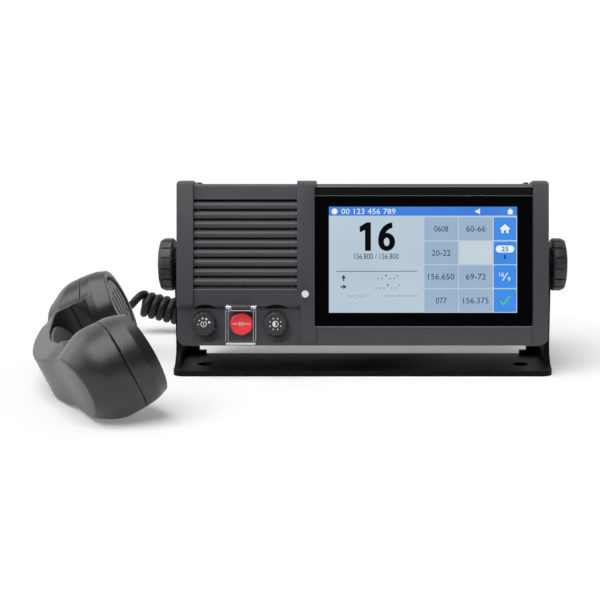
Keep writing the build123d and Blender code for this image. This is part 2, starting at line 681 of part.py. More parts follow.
def distress_switch():
    """The switch behind the button, bored for the stem."""
    half = SWITCH_W / 2
    body = block(
        BUTTON_X - half, BUTTON_X + half, SWITCH_Y0, CONTROL_BOARD_Y,
        ROTARY_Z - half, ROTARY_Z + half)
    return body - rod_y(
        BUTTON_X, ROTARY_Z, SWITCH_Y0 - 1, CONTROL_BOARD_Y - 0.6, BUTTON_STEM_R + FIT)


def control_board():
    """The small board behind the controls."""
    y1 = CONTROL_BOARD_Y + BOARD_T
    board = block(CONTROL_X0, CONTROL_X1, CONTROL_BOARD_Y, y1, CONTROL_Z0, CONTROL_Z1)
    for x, z in standoff_places():
        board -= rod_y(x, z, CONTROL_BOARD_Y, y1, BOARD_SCREW_R + FIT)
    for x, z in corner_places():
        board -= rod_y(x, z, CONTROL_BOARD_Y, y1, CASE_BOSS_R + SLIP)
    return board


# ================================================================ grille and loudspeaker
GRILLE_X0 = LEFT_RIB_X + SLIP / 3
GRILLE_X1 = MID_RIB_X0 - SLIP / 3


def speaker_grille():
    """The louvred panel: ridged slats with a slot between each, joined by bars behind."""
    top = GRILLE_TOP - SLIP / 3
    bottom = GRILLE_BOTTOM + SLIP / 3
    panel = block(GRILLE_X0, GRILLE_X1, SECTION_Y, GRILLE_BACK, SLOT_TOP_Z, top)
    slat_h = SLOT_PITCH - SLOT_H
    for k in range(SLOT_COUNT):
        z1 = SLOT_TOP_Z - SLOT_H - k * SLOT_PITCH
        z0 = max(z1 - slat_h, bottom)
        crest = z1 - slat_h / 2
        points = [(SLAT_BACK, z1), (SECTION_Y + SLAT_RELIEF, z1)]
        if crest > z0:
            points.append((SECTION_Y, crest))
        points += [(SECTION_Y + SLAT_RELIEF * 0.6, z0), (SLAT_BACK, z0)]
        panel += plate_x(outline(points), GRILLE_X0, GRILLE_X1)
    middle = (GRILLE_X0 + GRILLE_X1) / 2
    for x in (GRILLE_X0, middle - GRILLE_BAR / 2, GRILLE_X1 - GRILLE_BAR):
        panel += block(x, x + GRILLE_BAR, SLAT_BACK - 0.2, GRILLE_BACK, bottom, SLOT_TOP_Z + 1)
    return panel


def speaker_cloth():
    """Thin acoustic cloth on the back of the grille."""
    edge = GRILLE_LEDGE + SLIP
    return block(
        LEFT_RIB_X + edge, MID_RIB_X0 - edge, GRILLE_BACK, GRILLE_BACK + CLOTH_T,
        GRILLE_BOTTOM + edge, GRILLE_TOP - edge)


SPEAKER_X = (LEFT_RIB_X + MID_RIB_X0) / 2
SPEAKER_Z = (GRILLE_TOP + GRILLE_BOTTOM) / 2
BASKET_Y1 = FRONT_WALL_BACK + SPEAKER_FLANGE_T
CONE_BACK = FRONT_WALL_BACK + CONE_DEPTH


def speaker_basket():
    """The loudspeaker's frame: square flange and tapered basket with four windows."""
    half = SPEAKER_FLANGE / 2
    flange = plate_y(
        rounded(SPEAKER_X - half, SPEAKER_X + half, SPEAKER_Z - half, SPEAKER_Z + half, 4),
        FRONT_WALL_BACK, BASKET_Y1)
    wall = 1.0
    basket = revolve_y([
        (SPEAKER_R, FRONT_WALL_BACK), (SPEAKER_R + 1.6, FRONT_WALL_BACK), (SPEAKER_R + 1.6, BASKET_Y1),
        (MAGNET_R - 3, CONE_BACK), (6, CONE_BACK), (6, CONE_BACK - wall),
        (MAGNET_R - 3.6, CONE_BACK - wall), (SPEAKER_R, BASKET_Y1),
    ], SPEAKER_X, SPEAKER_Z)
    body = (flange - rod_y(SPEAKER_X, SPEAKER_Z, FRONT_WALL_BACK, BASKET_Y1, SPEAKER_R)) + basket
    for k in range(4):
        window = Rot(0, 45 + 90 * k, 0) * block(
            SPEAKER_R * 0.62, SPEAKER_R * 1.2, BASKET_Y1 + 1, CONE_BACK - 2, -7, 7)
        body -= Pos(SPEAKER_X, 0, SPEAKER_Z) * window
    return body


def speaker_cone():
    """The paper cone with its dust cap."""
    rim = SPEAKER_R - FIT
    throat = 8.0
    return revolve_y([
        (rim, FRONT_WALL_BACK + 0.4), (rim, FRONT_WALL_BACK + 1.2), (throat, CONE_BACK - 2.0),
        (0, CONE_BACK - 2.0), (0, CONE_BACK - 5.0), (throat, CONE_BACK - 3.2),
        (rim - 3, FRONT_WALL_BACK + 0.4),
    ], SPEAKER_X, SPEAKER_Z)


def speaker_magnet():
    """The magnet behind the basket."""
    return revolve_y([
        (0, CONE_BACK), (MAGNET_R - 1, CONE_BACK), (MAGNET_R, CONE_BACK + 1),
        (MAGNET_R, CONE_BACK + MAGNET_T), (0, CONE_BACK + MAGNET_T),
    ], SPEAKER_X, SPEAKER_Z)


# ================================================================ screen
def screen_glass():
    """The cover glass of the touch screen."""
    view = rounded(GLASS_X0, GLASS_X1, GLASS_Z0, GLASS_Z1, GLASS_CORNER_R)
    return plate_y(view, GLASS_Y, GLASS_Y + GLASS_T)


def screen_gasket():
    """The foam frame that the glass sits on."""
    y0 = GLASS_Y + GLASS_T
    outer = plate_y(rounded(GLASS_X0, GLASS_X1, GLASS_Z0, GLASS_Z1, GLASS_CORNER_R), y0, y0 + GASKET_T)
    half_w = ACTIVE_W / 2 + WINDOW_MARGIN
    half_h = ACTIVE_H / 2 + WINDOW_MARGIN
    return outer - block(
        ACTIVE_X - half_w, ACTIVE_X + half_w, y0 - 1, y0 + GASKET_T + 1,
        ACTIVE_Z - half_h, ACTIVE_Z + half_h)


def display_module():
    """The display panel behind the window."""
    half_w = ACTIVE_W / 2 + MODULE_MARGIN
    half_h = ACTIVE_H / 2 + MODULE_MARGIN
    return block(
        ACTIVE_X - half_w, ACTIVE_X + half_w, FRONT_WALL_BACK, FRONT_WALL_BACK + MODULE_T,
        ACTIVE_Z - half_h, ACTIVE_Z + half_h)


# ================================================================ rear housing and what it holds
FLANGE_Y0 = BEZEL_BACK + SEAL_T
HOUSING_HALF = HOUSING_W / 2


def post_places():
    return [(sx * POST_X, sz * POST_Z) for sx in (-1, 1) for sz in (-1, 1)]


def rear_housing():
    """The cast rear case: flange, box, pivot bosses, cooling fins, board posts."""
    flange = plate_y(
        rounded(-FLANGE_HALF, FLANGE_HALF, FLANGE_BOTTOM, FLANGE_TOP, 4), FLANGE_Y0, FLANGE_Y0 + FLANGE_T)
    box = plate_y(
        rounded(-HOUSING_HALF, HOUSING_HALF, HOUSING_BOTTOM, HOUSING_TOP, HOUSING_EDGE_R),
        FLANGE_Y0, HOUSING_BACK)
    box = fillet(box.edges().group_by(Axis.Y)[-1], 2.5)
    body = flange + box
    for side in (-1, 1):
        x0, x1 = sorted((side * (HOUSING_HALF - 1), side * BOSS_X))
        body += rod_x(0, 0, x0, x1, BOSS_R)
        body += block(
            side * TOP_LUG_X - TOP_LUG_W / 2, side * TOP_LUG_X + TOP_LUG_W / 2,
            FLANGE_Y0, HOUSING_BACK - 14, HOUSING_TOP - 1, TOP_LUG_Z)
    inset = HOUSING_WALL
    body -= plate_y(
        rounded(-HOUSING_HALF + inset, HOUSING_HALF - inset, HOUSING_BOTTOM + inset, HOUSING_TOP - inset, 3),
        FLANGE_Y0 - 1, HOUSING_BACK - inset)
    for side in (-1, 1):
        x0, x1 = sorted((side * (INSERT_X0 - 1.2), side * (HOUSING_HALF - 1)))
        body += rod_x(0, 0, x0, x1, INSERT_R + 2.5)
        x0, x1 = sorted((side * INSERT_X0, side * (BOSS_X + 1)))
        body -= rod_x(0, 0, x0, x1, INSERT_R + FIT)
    for x, z in post_places():
        body += rod_y(x, z, MAIN_BOARD_Y + BOARD_T, HOUSING_BACK - 1, POST_R)
        body -= rod_y(x, z, MAIN_BOARD_Y, MAIN_BOARD_Y + BOARD_SCREW_L, BOARD_SCREW_R + FIT)
    first = -FIN_PITCH * (FIN_COUNT - 1) / 2
    for k in range(FIN_COUNT):
        x = first + k * FIN_PITCH
        fin = outline([
            (HOUSING_BACK - 1, FIN_Z0 - 1), (HOUSING_BACK, FIN_Z0), (HOUSING_BACK + FIN_H, FIN_Z0 + 6),
            (HOUSING_BACK + FIN_H, FIN_Z1 - 6), (HOUSING_BACK, FIN_Z1), (HOUSING_BACK - 1, FIN_Z1),
        ])
        body += plate_x(fin, x - FIN_T / 2, x + FIN_T / 2)
    for x, z in corner_places():
        body -= rod_y(x, z, FLANGE_Y0 - 1, FLANGE_Y0 + FLANGE_T + 1, CASE_SCREW_R + 2 * SLIP)
    for x in (POWER_X, HANDSET_SOCKET_X):
        body -= rod_y(x, SOCKET_Z, HOUSING_BACK - 2 * inset, HOUSING_BACK + 1, SOCKET_R + FIT)
    return body - rod_y(GROUND_X, SOCKET_Z, HOUSING_BACK - 2 * inset, HOUSING_BACK + 1, GROUND_R + FIT)


def housing_seal():
    """The flat seal between the bezel and the rear housing."""
    outer = plate_y(
        rounded(-FLANGE_HALF, FLANGE_HALF, FLANGE_BOTTOM, FLANGE_TOP, 4), BEZEL_BACK, FLANGE_Y0)
    x1 = FLANGE_HALF - SEAL_W
    seal = outer - block(
        -x1, x1, BEZEL_BACK - 1, FLANGE_Y0 + 1,
        FLANGE_BOTTOM + SEAL_H, FLANGE_TOP - SEAL_H)
    for x, z in corner_places():
        seal -= rod_y(x, z, BEZEL_BACK - 1, FLANGE_Y0 + 1, CASE_SCREW_R + SLIP)
    return seal


def screws(places, head_y, head_r, head_t, shank_r, length, step):
    """A group of pan-head screws; step is the way from the head to the tip along Y."""
    group = []
    shank_y = sorted((head_y, head_y + step * length))
    head_ys = sorted((head_y, head_y - step * head_t))
    drive_y = sorted((head_y - step * head_t, head_y - step * (head_t - DRIVE_DEPTH)))
    reach = head_r * 0.6
    for x, z in places:
        screw = rod_y(x, z, *shank_y, shank_r) + rod_y(x, z, *head_ys, head_r)
        screw -= block(x - reach, x + reach, *drive_y, z - DRIVE_W / 2, z + DRIVE_W / 2)
        screw -= block(x - DRIVE_W / 2, x + DRIVE_W / 2, *drive_y, z - reach, z + reach)
        group.append(screw)
    whole = group[0]
    for piece in group[1:]:
        whole += piece
    return whole


def main_board():
    """The main circuit board on the housing's posts."""
    board = block(
        -MAIN_BOARD_X, MAIN_BOARD_X, MAIN_BOARD_Y, MAIN_BOARD_Y + BOARD_T, -MAIN_BOARD_Z, MAIN_BOARD_Z)
    for x, z in post_places():
        board -= rod_y(x, z, MAIN_BOARD_Y - 1, MAIN_BOARD_Y + BOARD_T + 1, BOARD_SCREW_R + FIT)
    return board


def rear_socket(x):
    """A round panel socket with a flange on the housing's back wall."""
    y1 = HOUSING_BACK + SOCKET_L
    inner = SOCKET_R - 1.6
    return revolve_y([
        (0, HOUSING_BACK - 6), (SOCKET_R, HOUSING_BACK - 6), (SOCKET_R, HOUSING_BACK),
        (SOCKET_FLANGE_R, HOUSING_BACK), (SOCKET_FLANGE_R, HOUSING_BACK + SOCKET_FLANGE_T),
        (SOCKET_R, HOUSING_BACK + SOCKET_FLANGE_T), (SOCKET_R, y1), (inner, y1),
        (inner, HOUSING_BACK + 1), (0, HOUSING_BACK + 1),
    ], x, SOCKET_Z)


def ground_stud():
    """The earth stud with its nut."""
    stud = rod_y(GROUND_X, SOCKET_Z, HOUSING_BACK - 5, HOUSING_BACK + GROUND_L, GROUND_R)
    nut = plate_y(
        Pos(GROUND_X, SOCKET_Z) * RegularPolygon(NUT_ACROSS / 2, 6, major_radius=False),
        HOUSING_BACK, HOUSING_BACK + NUT_T)
    return stud + nut


PLUG_Y0 = HOUSING_BACK + SOCKET_FLANGE_T + FACE_GAP
PLUG_Y1 = PLUG_Y0 + PLUG_L
PLUG_END = PLUG_Y1 + PLUG_TAIL_L


def handset_plug():
    """The plug on the cord: knurled ring over the socket, tapered tail."""
    inner = SOCKET_R + FIT
    socket_end = HOUSING_BACK + SOCKET_L + SLIP
    return revolve_y([
        (inner, PLUG_Y0), (PLUG_R, PLUG_Y0), (PLUG_R, PLUG_Y1), (GLAND_R0, PLUG_Y1 + 1),
        (GLAND_R1, PLUG_END), (0, PLUG_END), (0, socket_end), (inner, socket_end),
    ], HANDSET_SOCKET_X, SOCKET_Z)


# ================================================================ handset
END_X = HEAD_X + HEAD_R
FORM_REACH = 130.0      # more than the handset measures from its middle


def mirrored(points):
    """The same points on the other side of the handset's middle, in reverse order."""
    return [(-x, y) for x, y in reversed(points)]


def side_view(inset):
    """The handset from the side: a C with canted cap faces, in x and y."""
    slope = math.tan(math.radians(CAP_CANT))
    t = inset
    rim_in = CAP_X - CAP_RIM_R + t
    corner = (END_X + 1, (END_X + 1 - CAP_X) * slope - t)
    back = [
        (END_X + 1, HEEL_RISE - HEEL_DEPTH + t), (HEAD_X + 12, -HEEL_DEPTH + t),
        (0.75 * CAP_X, 12.0 - BACK_DEPTH + t), (0.38 * CAP_X, 2.8 - BACK_DEPTH + t),
    ]
    inner = [
        (rim_in, (rim_in - CAP_X) * slope - t), (CAP_X - 26.6 + t, -0.36 * HOLLOW_DEPTH - t),
        (CAP_X - 27.6 + t, -0.59 * HOLLOW_DEPTH - t), (CAP_X - 30.1 + t, -0.76 * HOLLOW_DEPTH - t),
        (CAP_X - 36.1 + t, -0.874 * HOLLOW_DEPTH - t),
        (0.44 * CAP_X, -0.918 * HOLLOW_DEPTH - t), (0.22 * CAP_X, -0.98 * HOLLOW_DEPTH - t),
    ]
    with BuildSketch() as view:
        with BuildLine():
            Polyline(inner[0], corner, back[0])
            Spline(*back, (0, -BACK_DEPTH + t), *mirrored(back))
            Polyline(mirrored(back)[-1], mirrored([corner])[0], mirrored(inner)[-1])
            Spline(*reversed(mirrored(inner)), (0, -HOLLOW_DEPTH - t), *reversed(inner))
        make_face()
    return view.sketch


def plan_view(inset):
    """The handset from above the caps: two round heads joined by a straight grip, in x and z."""
    grip = GRIP_HALF - inset
    with BuildSketch() as view:
        with Locations((HEAD_X, 0), (-HEAD_X, 0)):
            Circle(HEAD_R - inset)
        Rectangle(2 * HEAD_X, 2 * grip)
        necks = view.vertices().filter_by(lambda v: abs(abs(v.Y) - grip) < FIT)
        fillet(necks, NECK_R + inset)
    return view.sketch


def end_view(inset):
    """Half of the handset along its length, in y and z: widest below the caps, narrow at the back."""
    t = inset
    side = [
        (12, HEAD_R - 4.5 - t), (1, HEAD_R - 2.5 - t), (-10, HEAD_R - 0.6 - t), (-18, HEAD_R - t),
        (-26, HEAD_R - 0.3 - t), (-34, HEAD_R - 3.2 - t), (-HEEL_DEPTH, BACK_HALF + 7.8 - t),
        (-HEEL_DEPTH - 10, BACK_HALF + 3.6 - t), (-BACK_DEPTH - 1, BACK_HALF - t),
    ]
    with BuildSketch() as view:
        with BuildLine():
            Spline(*side)
            Polyline(side[-1], (side[-1][0], 0), (side[0][0], 0), side[0])
        make_face()
    return view.sketch


def cap_frame(side):
    """A frame on a cap face: z out of the face, x across the handset."""
    cant = math.radians(CAP_CANT)
    out = (-side * math.sin(cant), math.cos(cant), 0)
    return Plane(origin=(side * CAP_X, 0, 0), x_dir=(0, 0, 1), z_dir=out)


def cap_draft(side, inset):
    """What to take off round a cap so that it draws in from the head to its round rim."""
    rim = CAP_RIM_R - inset
    depth = CAP_DRAFT_DEPTH
    profile = Plane.XZ * outline([
        (rim, 4.0), (rim, 0), (rim + 1.7, -depth / 3), (rim + 3.3, -depth * 2 / 3),
        (rim + 6.0, -depth - inset), (rim + 18.0, -1.6 * depth - inset),
        (FORM_REACH, -1.6 * depth - inset), (FORM_REACH, 4.0),
    ])
    ring = cap_frame(side).location * revolve(profile, Axis.Z)
    near = sorted((side * (CAP_X - 45), side * (CAP_X + 45)))
    return ring & block(*near, -40, 40, -60, 60)


def handset_form(inset):
    """The whole handset as one form: its three views, turned round each head, drawn in at the caps."""
    half = Plane(origin=(0, 0, 0), x_dir=(0, 1, 0), z_dir=(1, 0, 0)) * end_view(inset)
    bar = extrude(half, HEAD_X, both=True)
    form = bar + mirror(bar, Plane.XY)
    head = revolve(Plane(origin=(0, 0, 0), x_dir=(0, 1, 0), z_dir=(1, 0, 0)) * end_view(inset), Axis.Y)
    for side in (-1, 1):
        form += Pos(side * HEAD_X, 0, 0) * head
    form &= extrude(side_view(inset), FORM_REACH, both=True)
    plan = Plane(origin=(0, 0, 0), x_dir=(1, 0, 0), z_dir=(0, -1, 0)) * plan_view(inset)
    form &= extrude(plan, FORM_REACH, both=True)
    return form - cap_draft(1, inset) - cap_draft(-1, inset)


def cap_space(side):
    """Everything above the parting line of one cap, which dips towards the middle."""
    with BuildSketch() as view:
        with BuildLine():
            x0 = CAP_X - 30.0
            x1 = END_X + 3.0
            ThreePointArc((x0, -SEAM_INNER), (CAP_X, -SEAM_MIDDLE), (x1, -SEAM_OUTER))
            Polyline((x1, -SEAM_OUTER), (x1, HEAD_R), (x0, HEAD_R), (x0, -SEAM_INNER))
        make_face()
    space = extrude(view.sketch, FORM_REACH / 2, both=True)
    return space if side > 0 else mirror(space, Plane.YZ)


def handset_cap(side, full, hollow, slots):
    """One cap: a cup that closes an end of the handset, with slots over its capsule."""
    cap = (full - hollow) & cap_space(side)
    face = cap_frame(side).location
    cap -= face * Pos(0, 0, -CAP_RECESS / 2 + 5) * Cylinder(CAP_RECESS_R, CAP_RECESS + 10)
    first = -CAP_SLOT_PITCH * (slots - 1) / 2
    for k in range(slots):
        place = Pos(0, first + k * CAP_SLOT_PITCH, 0)
        cap -= face * place * extrude(SlotOverall(CAP_SLOT_L, CAP_SLOT_W), 8, both=True)
    return cap


def paddle_space(y0, y1, margin):
    """The paddle's outline made solid between two depths of the handset."""
    view = Pos(PADDLE_X, 0) * SlotOverall(PADDLE_L + 2 * margin, PADDLE_W + 2 * margin)
    return extrude(Plane(origin=(0, y0, 0), x_dir=(1, 0, 0), z_dir=(0, 1, 0)) * view, y1 - y0)


def rod_z(x, y, z0, z1, radius):
    """A cylinder along Z."""
    return Pos(x, y, (z0 + z1) / 2) * Cylinder(radius, z1 - z0)


PIN_X = PADDLE_X - PADDLE_L / 2 + PADDLE_PIN_INSET
PIN_Y = -HOLLOW_DEPTH - SHELL_WALL - 1.6
BOARD_Y = -BACK_DEPTH + 6.0
PLUNGER_Y = BOARD_Y + BOARD_T + SWITCH_T + 0.4
STRIKER_Y = PLUNGER_Y + (SWITCH_X - PIN_X) * math.sin(math.radians(PADDLE_SWING)) + 0.2


def board_post_places():
    return [(x, 0) for x in (-HANDSET_BOARD_L / 2 + 4, HANDSET_BOARD_L / 2 - 4)]


def handset_back_shell(full, hollow):
    """The C-shaped shell below the parting lines, with its paddle opening, lugs and posts."""
    shell = (full - hollow) - cap_space(1) - cap_space(-1)
    shell -= paddle_space(-HOLLOW_DEPTH - SHELL_WALL - SLIP, 0, PADDLE_GAP)
    for side in (-1, 1):
        z0, z1 = sorted((side * (PADDLE_BOSS_HALF + PADDLE_GAP), side * PIN_HALF))
        lug = block(PIN_X - 2.6, PIN_X + 2.6, -BACK_DEPTH + 1, PIN_Y + 2.4, z0, z1)
        shell += (lug & full) - rod_z(PIN_X, PIN_Y, z0 - 1, z1 + 1, PADDLE_PIN_R)
    for x, z in board_post_places():
        shell += rod_y(x, z, -BACK_DEPTH + 1, BOARD_Y, POST_R / 2) & full
        shell -= rod_y(x, z, BOARD_Y - 3.5, BOARD_Y, BOARD_SCREW_R + FIT)
    return shell - rod_x(-GLAND_DROP, 0, CAP_X, END_X + 5, GLAND_R0 + FIT)


def paddle_pin():
    return rod_z(PIN_X, PIN_Y, -PIN_HALF + 0.2, PIN_HALF - 0.2, PADDLE_PIN_R)


def crowned(thickness):
    """A strip along the grip's inner curve: domed across, level with the grip at its edges."""
    edge = PADDLE_EDGE - HOLLOW_DEPTH
    crown = edge + PADDLE_CROWN
    half = PADDLE_W / 2
    with BuildSketch() as section:
        with BuildLine():
            ThreePointArc((edge, -half), (crown, 0), (edge, half))
            Line((edge, half), (edge - thickness, half))
            ThreePointArc((edge - thickness, half), (crown - thickness, 0), (edge - thickness, -half))
            Line((edge - thickness, -half), (edge, -half))
        make_face()
    axis = Axis((0, HOLLOW_CURVE_R - HOLLOW_DEPTH, 0), (0, 0, 1))
    return revolve(Plane.YZ * section.sketch, axis)


def talk_paddle():
    """The push-to-talk lever: a domed oval along the grip, a hinge boss and a striker."""
    floor = PIN_Y - PADDLE_PIN_R * 2
    boss = rod_z(PIN_X, PIN_Y, -PADDLE_BOSS_HALF, PADDLE_BOSS_HALF, PADDLE_PIN_R * 2)
    web = block(PIN_X - 1.5, PIN_X + 1.5, PIN_Y, -10, -PADDLE_BOSS_HALF, PADDLE_BOSS_HALF)
    striker = rod_y(SWITCH_X, 0, STRIKER_Y, -10, 1.6)
    paddle = paddle_space(floor, -10, 0) & crowned(PADDLE_T)
    paddle += boss + ((web + striker) & crowned(-floor - HOLLOW_DEPTH + 4))
    return paddle - rod_z(PIN_X, PIN_Y, -PADDLE_W, PADDLE_W, PADDLE_PIN_R + FIT)


def handset_board():
    """The small board along the grip."""
    half = HANDSET_BOARD_L / 2
    board = block(-half, half, BOARD_Y, BOARD_Y + BOARD_T, -HANDSET_BOARD_W / 2, HANDSET_BOARD_W / 2)
    for x, z in board_post_places():
        board -= rod_y(x, z, BOARD_Y - 1, BOARD_Y + BOARD_T + 1, BOARD_SCREW_R + FIT)
    return board


def handset_board_screws():
    return screws(
        board_post_places(), BOARD_Y + BOARD_T, BOARD_HEAD_R, BOARD_HEAD_T, BOARD_SCREW_R, 4.5, -1)


def talk_switch():
    """The switch that the paddle's striker presses."""
    half = SWITCH_W / 2
    y0 = BOARD_Y + BOARD_T
    return block(SWITCH_X - half, SWITCH_X + half, y0, y0 + SWITCH_T, -half, half) + rod_y(
        SWITCH_X, 0, y0 + SWITCH_T, y0 + SWITCH_T + 0.4, 1.5)


def capsule(side, radius, thickness):
    """A round capsule glued behind a cap's slots."""
    depth = SHELL_WALL + FACE_GAP
    return cap_frame(side).location * Pos(0, 0, -depth - thickness / 2) * Cylinder(radius, thickness)


GLAND_X0 = END_X - 9.0
GLAND_X1 = END_X - 3.0 + GLAND_L


def cord_gland():
    """The tapered strain relief at the mouthpiece end."""
    profile = [
        (0, GLAND_X0), (GLAND_R0, GLAND_X0), (GLAND_R0, END_X), (GLAND_R1, GLAND_X1), (0, GLAND_X1),
    ]
    return Pos(0, -GLAND_DROP, 0) * Rot(0, 0, -90) * revolve(outline(profile), Axis.Y)


# ================================================================ cords
def lead_route(place, start, points, end):
    """A lead's points: its exit in a tilted frame, the points by hand, its end."""
    exit_point = (place * Pos(*start)).position
    return [tuple(exit_point)] + points + [end]


# ================================================================ write the nodes
def write_bracket():
    save("mounting_bracket", mounting_bracket(), PLACE_WORLD)


def write_unit():
    save("front_bezel", front_bezel(), PLACE_UNIT)
    save("speaker_grille", speaker_grille(), PLACE_UNIT)
    save("speaker_cloth", speaker_cloth(), PLACE_UNIT)
    save("speaker_basket", speaker_basket(), PLACE_UNIT)
    save("speaker_cone", speaker_cone(), PLACE_UNIT)
    save("speaker_magnet", speaker_magnet(), PLACE_UNIT)
    save("screen_glass", screen_glass(), PLACE_UNIT)
    save("screen_gasket", screen_gasket(), PLACE_UNIT)
    save("display_module", display_module(), PLACE_UNIT)
    save("rear_housing", rear_housing(), PLACE_UNIT)
    save("housing_seal", housing_seal(), PLACE_UNIT)
    save("case_screws", screws(
        corner_places(), FLANGE_Y0 + FLANGE_T, CASE_HEAD_R, CASE_HEAD_T, CASE_SCREW_R, CASE_SCREW_L, -1),
        PLACE_UNIT)
    save("main_board", main_board(), PLACE_UNIT)
    save("main_board_screws", screws(
        post_places(), MAIN_BOARD_Y, BOARD_HEAD_R, BOARD_HEAD_T, BOARD_SCREW_R, BOARD_SCREW_L, 1),
        PLACE_UNIT)
    save("control_board", control_board(), PLACE_UNIT)
    save("control_board_screws", screws(
        standoff_places(), CONTROL_BOARD_Y + BOARD_T, BOARD_HEAD_R, BOARD_HEAD_T, BOARD_SCREW_R,
        BOARD_SCREW_L, -1), PLACE_UNIT)
    save("volume_encoder", encoder(VOLUME_X), PLACE_UNIT)
    save("dimmer_encoder", encoder(DIMMER_X), PLACE_UNIT)
    save("distress_switch", distress_switch(), PLACE_UNIT)
    save("cover_hinge_pin", cover_hinge_pin(), PLACE_UNIT)
    save("power_socket", rear_socket(POWER_X), PLACE_UNIT)
    save("handset_socket", rear_socket(HANDSET_SOCKET_X), PLACE_UNIT)
    save("ground_stud", ground_stud(), PLACE_UNIT)
    save("handset_plug", handset_plug(), PLACE_UNIT)
    save("pivot_inserts", pivot_inserts(), PLACE_UNIT)
    save("left_friction_washer", friction_washer(-1), PLACE_UNIT)
    save("right_friction_washer", friction_washer(1), PLACE_UNIT)


def write_controls():
    save("volume_shaft", rotary_shaft(VOLUME_X), PLACE_UNIT)
    save("volume_knob", rotary_knob(VOLUME_X), PLACE_UNIT)
    save("dimmer_shaft", rotary_shaft(DIMMER_X), PLACE_UNIT)
    save("dimmer_knob", rotary_knob(DIMMER_X), PLACE_UNIT)
    save("distress_button", distress_button(), PLACE_UNIT)
    save("distress_cover", distress_cover(), PLACE_UNIT)
    for name, side in (("left", -1), ("right", 1)):
        save(name + "_clamp_knob", clamp_knob(side), PLACE_UNIT)
        save(name + "_clamp_stud", clamp_stud(side), PLACE_UNIT)


def write_handset():
    full = handset_form(0)
    hollow = handset_form(SHELL_WALL)
    save("handset_back_shell", handset_back_shell(full, hollow), PLACE_HANDSET)
    save("mouthpiece_cap", handset_cap(1, full, hollow, CAP_SLOTS), PLACE_HANDSET)
    save("earpiece_cap", handset_cap(-1, full, hollow, CAP_SLOTS + 1), PLACE_HANDSET)
    save("talk_paddle", talk_paddle(), PLACE_HANDSET)
    save("paddle_pin", paddle_pin(), PLACE_HANDSET)
    save("talk_switch", talk_switch(), PLACE_HANDSET)
    save("handset_board", handset_board(), PLACE_HANDSET)
    save("handset_board_screws", handset_board_screws(), PLACE_HANDSET)
    save("earpiece_capsule", capsule(-1, CAPSULE_R, CAPSULE_T), PLACE_HANDSET)
    save("microphone", capsule(1, MIC_R, MIC_T), PLACE_HANDSET)
    save("cord_gland", cord_gland(), PLACE_HANDSET)


def write_cords():
    handset_lead = lead_route(
        PLACE_HANDSET, (GLAND_X1, -GLAND_DROP, 0), HANDSET_LEAD_ROUTE, COIL_ROUTE[0])
    unit_lead = lead_route(
        PLACE_UNIT, (HANDSET_SOCKET_X, PLUG_END, SOCKET_Z), UNIT_LEAD_ROUTE, COIL_ROUTE[-1])
    save("handset_lead", tube(handset_lead, CORD_R, "handset_lead"), PLACE_WORLD)
    save("curly_cord", tube(COIL_ROUTE, COIL_R, "curly_cord"), PLACE_WORLD)
    save("unit_lead", tube(unit_lead, CORD_R, "unit_lead"), PLACE_WORLD)
    print("handset_lead starts at", [round(v, 2) for v in handset_lead[0]])
    print("unit_lead starts at", [round(v, 2) for v in unit_lead[0]])


write_bracket()
write_unit()
write_controls()
write_handset()
write_cords()
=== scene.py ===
"""Looks of a VHF marine radio: finishes, softened edges, screen picture, printed marks and cords.

Lengths are in millimetres unless a name says otherwise; MM turns them into Blender's metres.
The control unit is drawn upright about its tilt axis, in x and z seen from the front, and UNIT
leans it back as the frame has it.
"""

import json
import math

import bmesh
import bpy
from mathutils import Matrix, Vector


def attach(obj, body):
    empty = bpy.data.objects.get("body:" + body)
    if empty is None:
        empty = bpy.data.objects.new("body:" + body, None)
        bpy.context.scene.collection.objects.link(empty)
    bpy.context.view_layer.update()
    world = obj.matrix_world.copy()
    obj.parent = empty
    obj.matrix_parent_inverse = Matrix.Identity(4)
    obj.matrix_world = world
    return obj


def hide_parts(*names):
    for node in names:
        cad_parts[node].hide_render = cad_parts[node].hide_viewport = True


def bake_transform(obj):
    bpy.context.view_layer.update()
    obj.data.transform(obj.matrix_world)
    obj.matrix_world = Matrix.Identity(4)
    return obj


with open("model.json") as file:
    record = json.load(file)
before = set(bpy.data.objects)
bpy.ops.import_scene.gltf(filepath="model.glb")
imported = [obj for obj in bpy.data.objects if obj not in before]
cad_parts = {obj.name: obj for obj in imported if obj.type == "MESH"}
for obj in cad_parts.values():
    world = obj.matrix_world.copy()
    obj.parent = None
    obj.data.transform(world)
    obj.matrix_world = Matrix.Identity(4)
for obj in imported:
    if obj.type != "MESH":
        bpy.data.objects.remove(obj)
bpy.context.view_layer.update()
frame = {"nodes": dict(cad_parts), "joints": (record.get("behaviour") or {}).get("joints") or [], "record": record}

MM = 0.001
NODES = frame["nodes"]
JOINTS = {joint["name"]: joint for joint in frame["joints"]}
SLOT_OF = {part["node"]: part["material_slot"] for part in frame["record"]["subparts"]}
BODY_OF = {
    node: body
    for body, nodes in frame["record"]["behaviour"]["bodies"].items()
    for node in nodes
}

LEAN = math.radians(10)     # the unit leans back
UNIT = Matrix.Translation(JOINTS["tilt"]["pos_m"]) @ Matrix.Rotation(-LEAN, 4, "X")


# ---------------- shader helpers
def colour(code):
    """An sRGB hex value as linear red, green, blue and 1."""
    parts = [int(code[k:k + 2], 16) / 255 for k in (0, 2, 4)]
    return (*[c / 12.92 if c <= 0.04045 else ((c + 0.055) / 1.055) ** 2.4 for c in parts], 1)


def add(tree, kind, inputs=(), **options):
    """Adds one shader node. Each input is a value or the output that feeds it."""
    node = tree.nodes.new(kind)
    for name, value in options.items():
        setattr(node, name, value)
    for name, value in dict(inputs).items():
        if isinstance(value, bpy.types.NodeSocket):
            tree.links.new(value, node.inputs[name])
        else:
            node.inputs[name].default_value = value
    return node


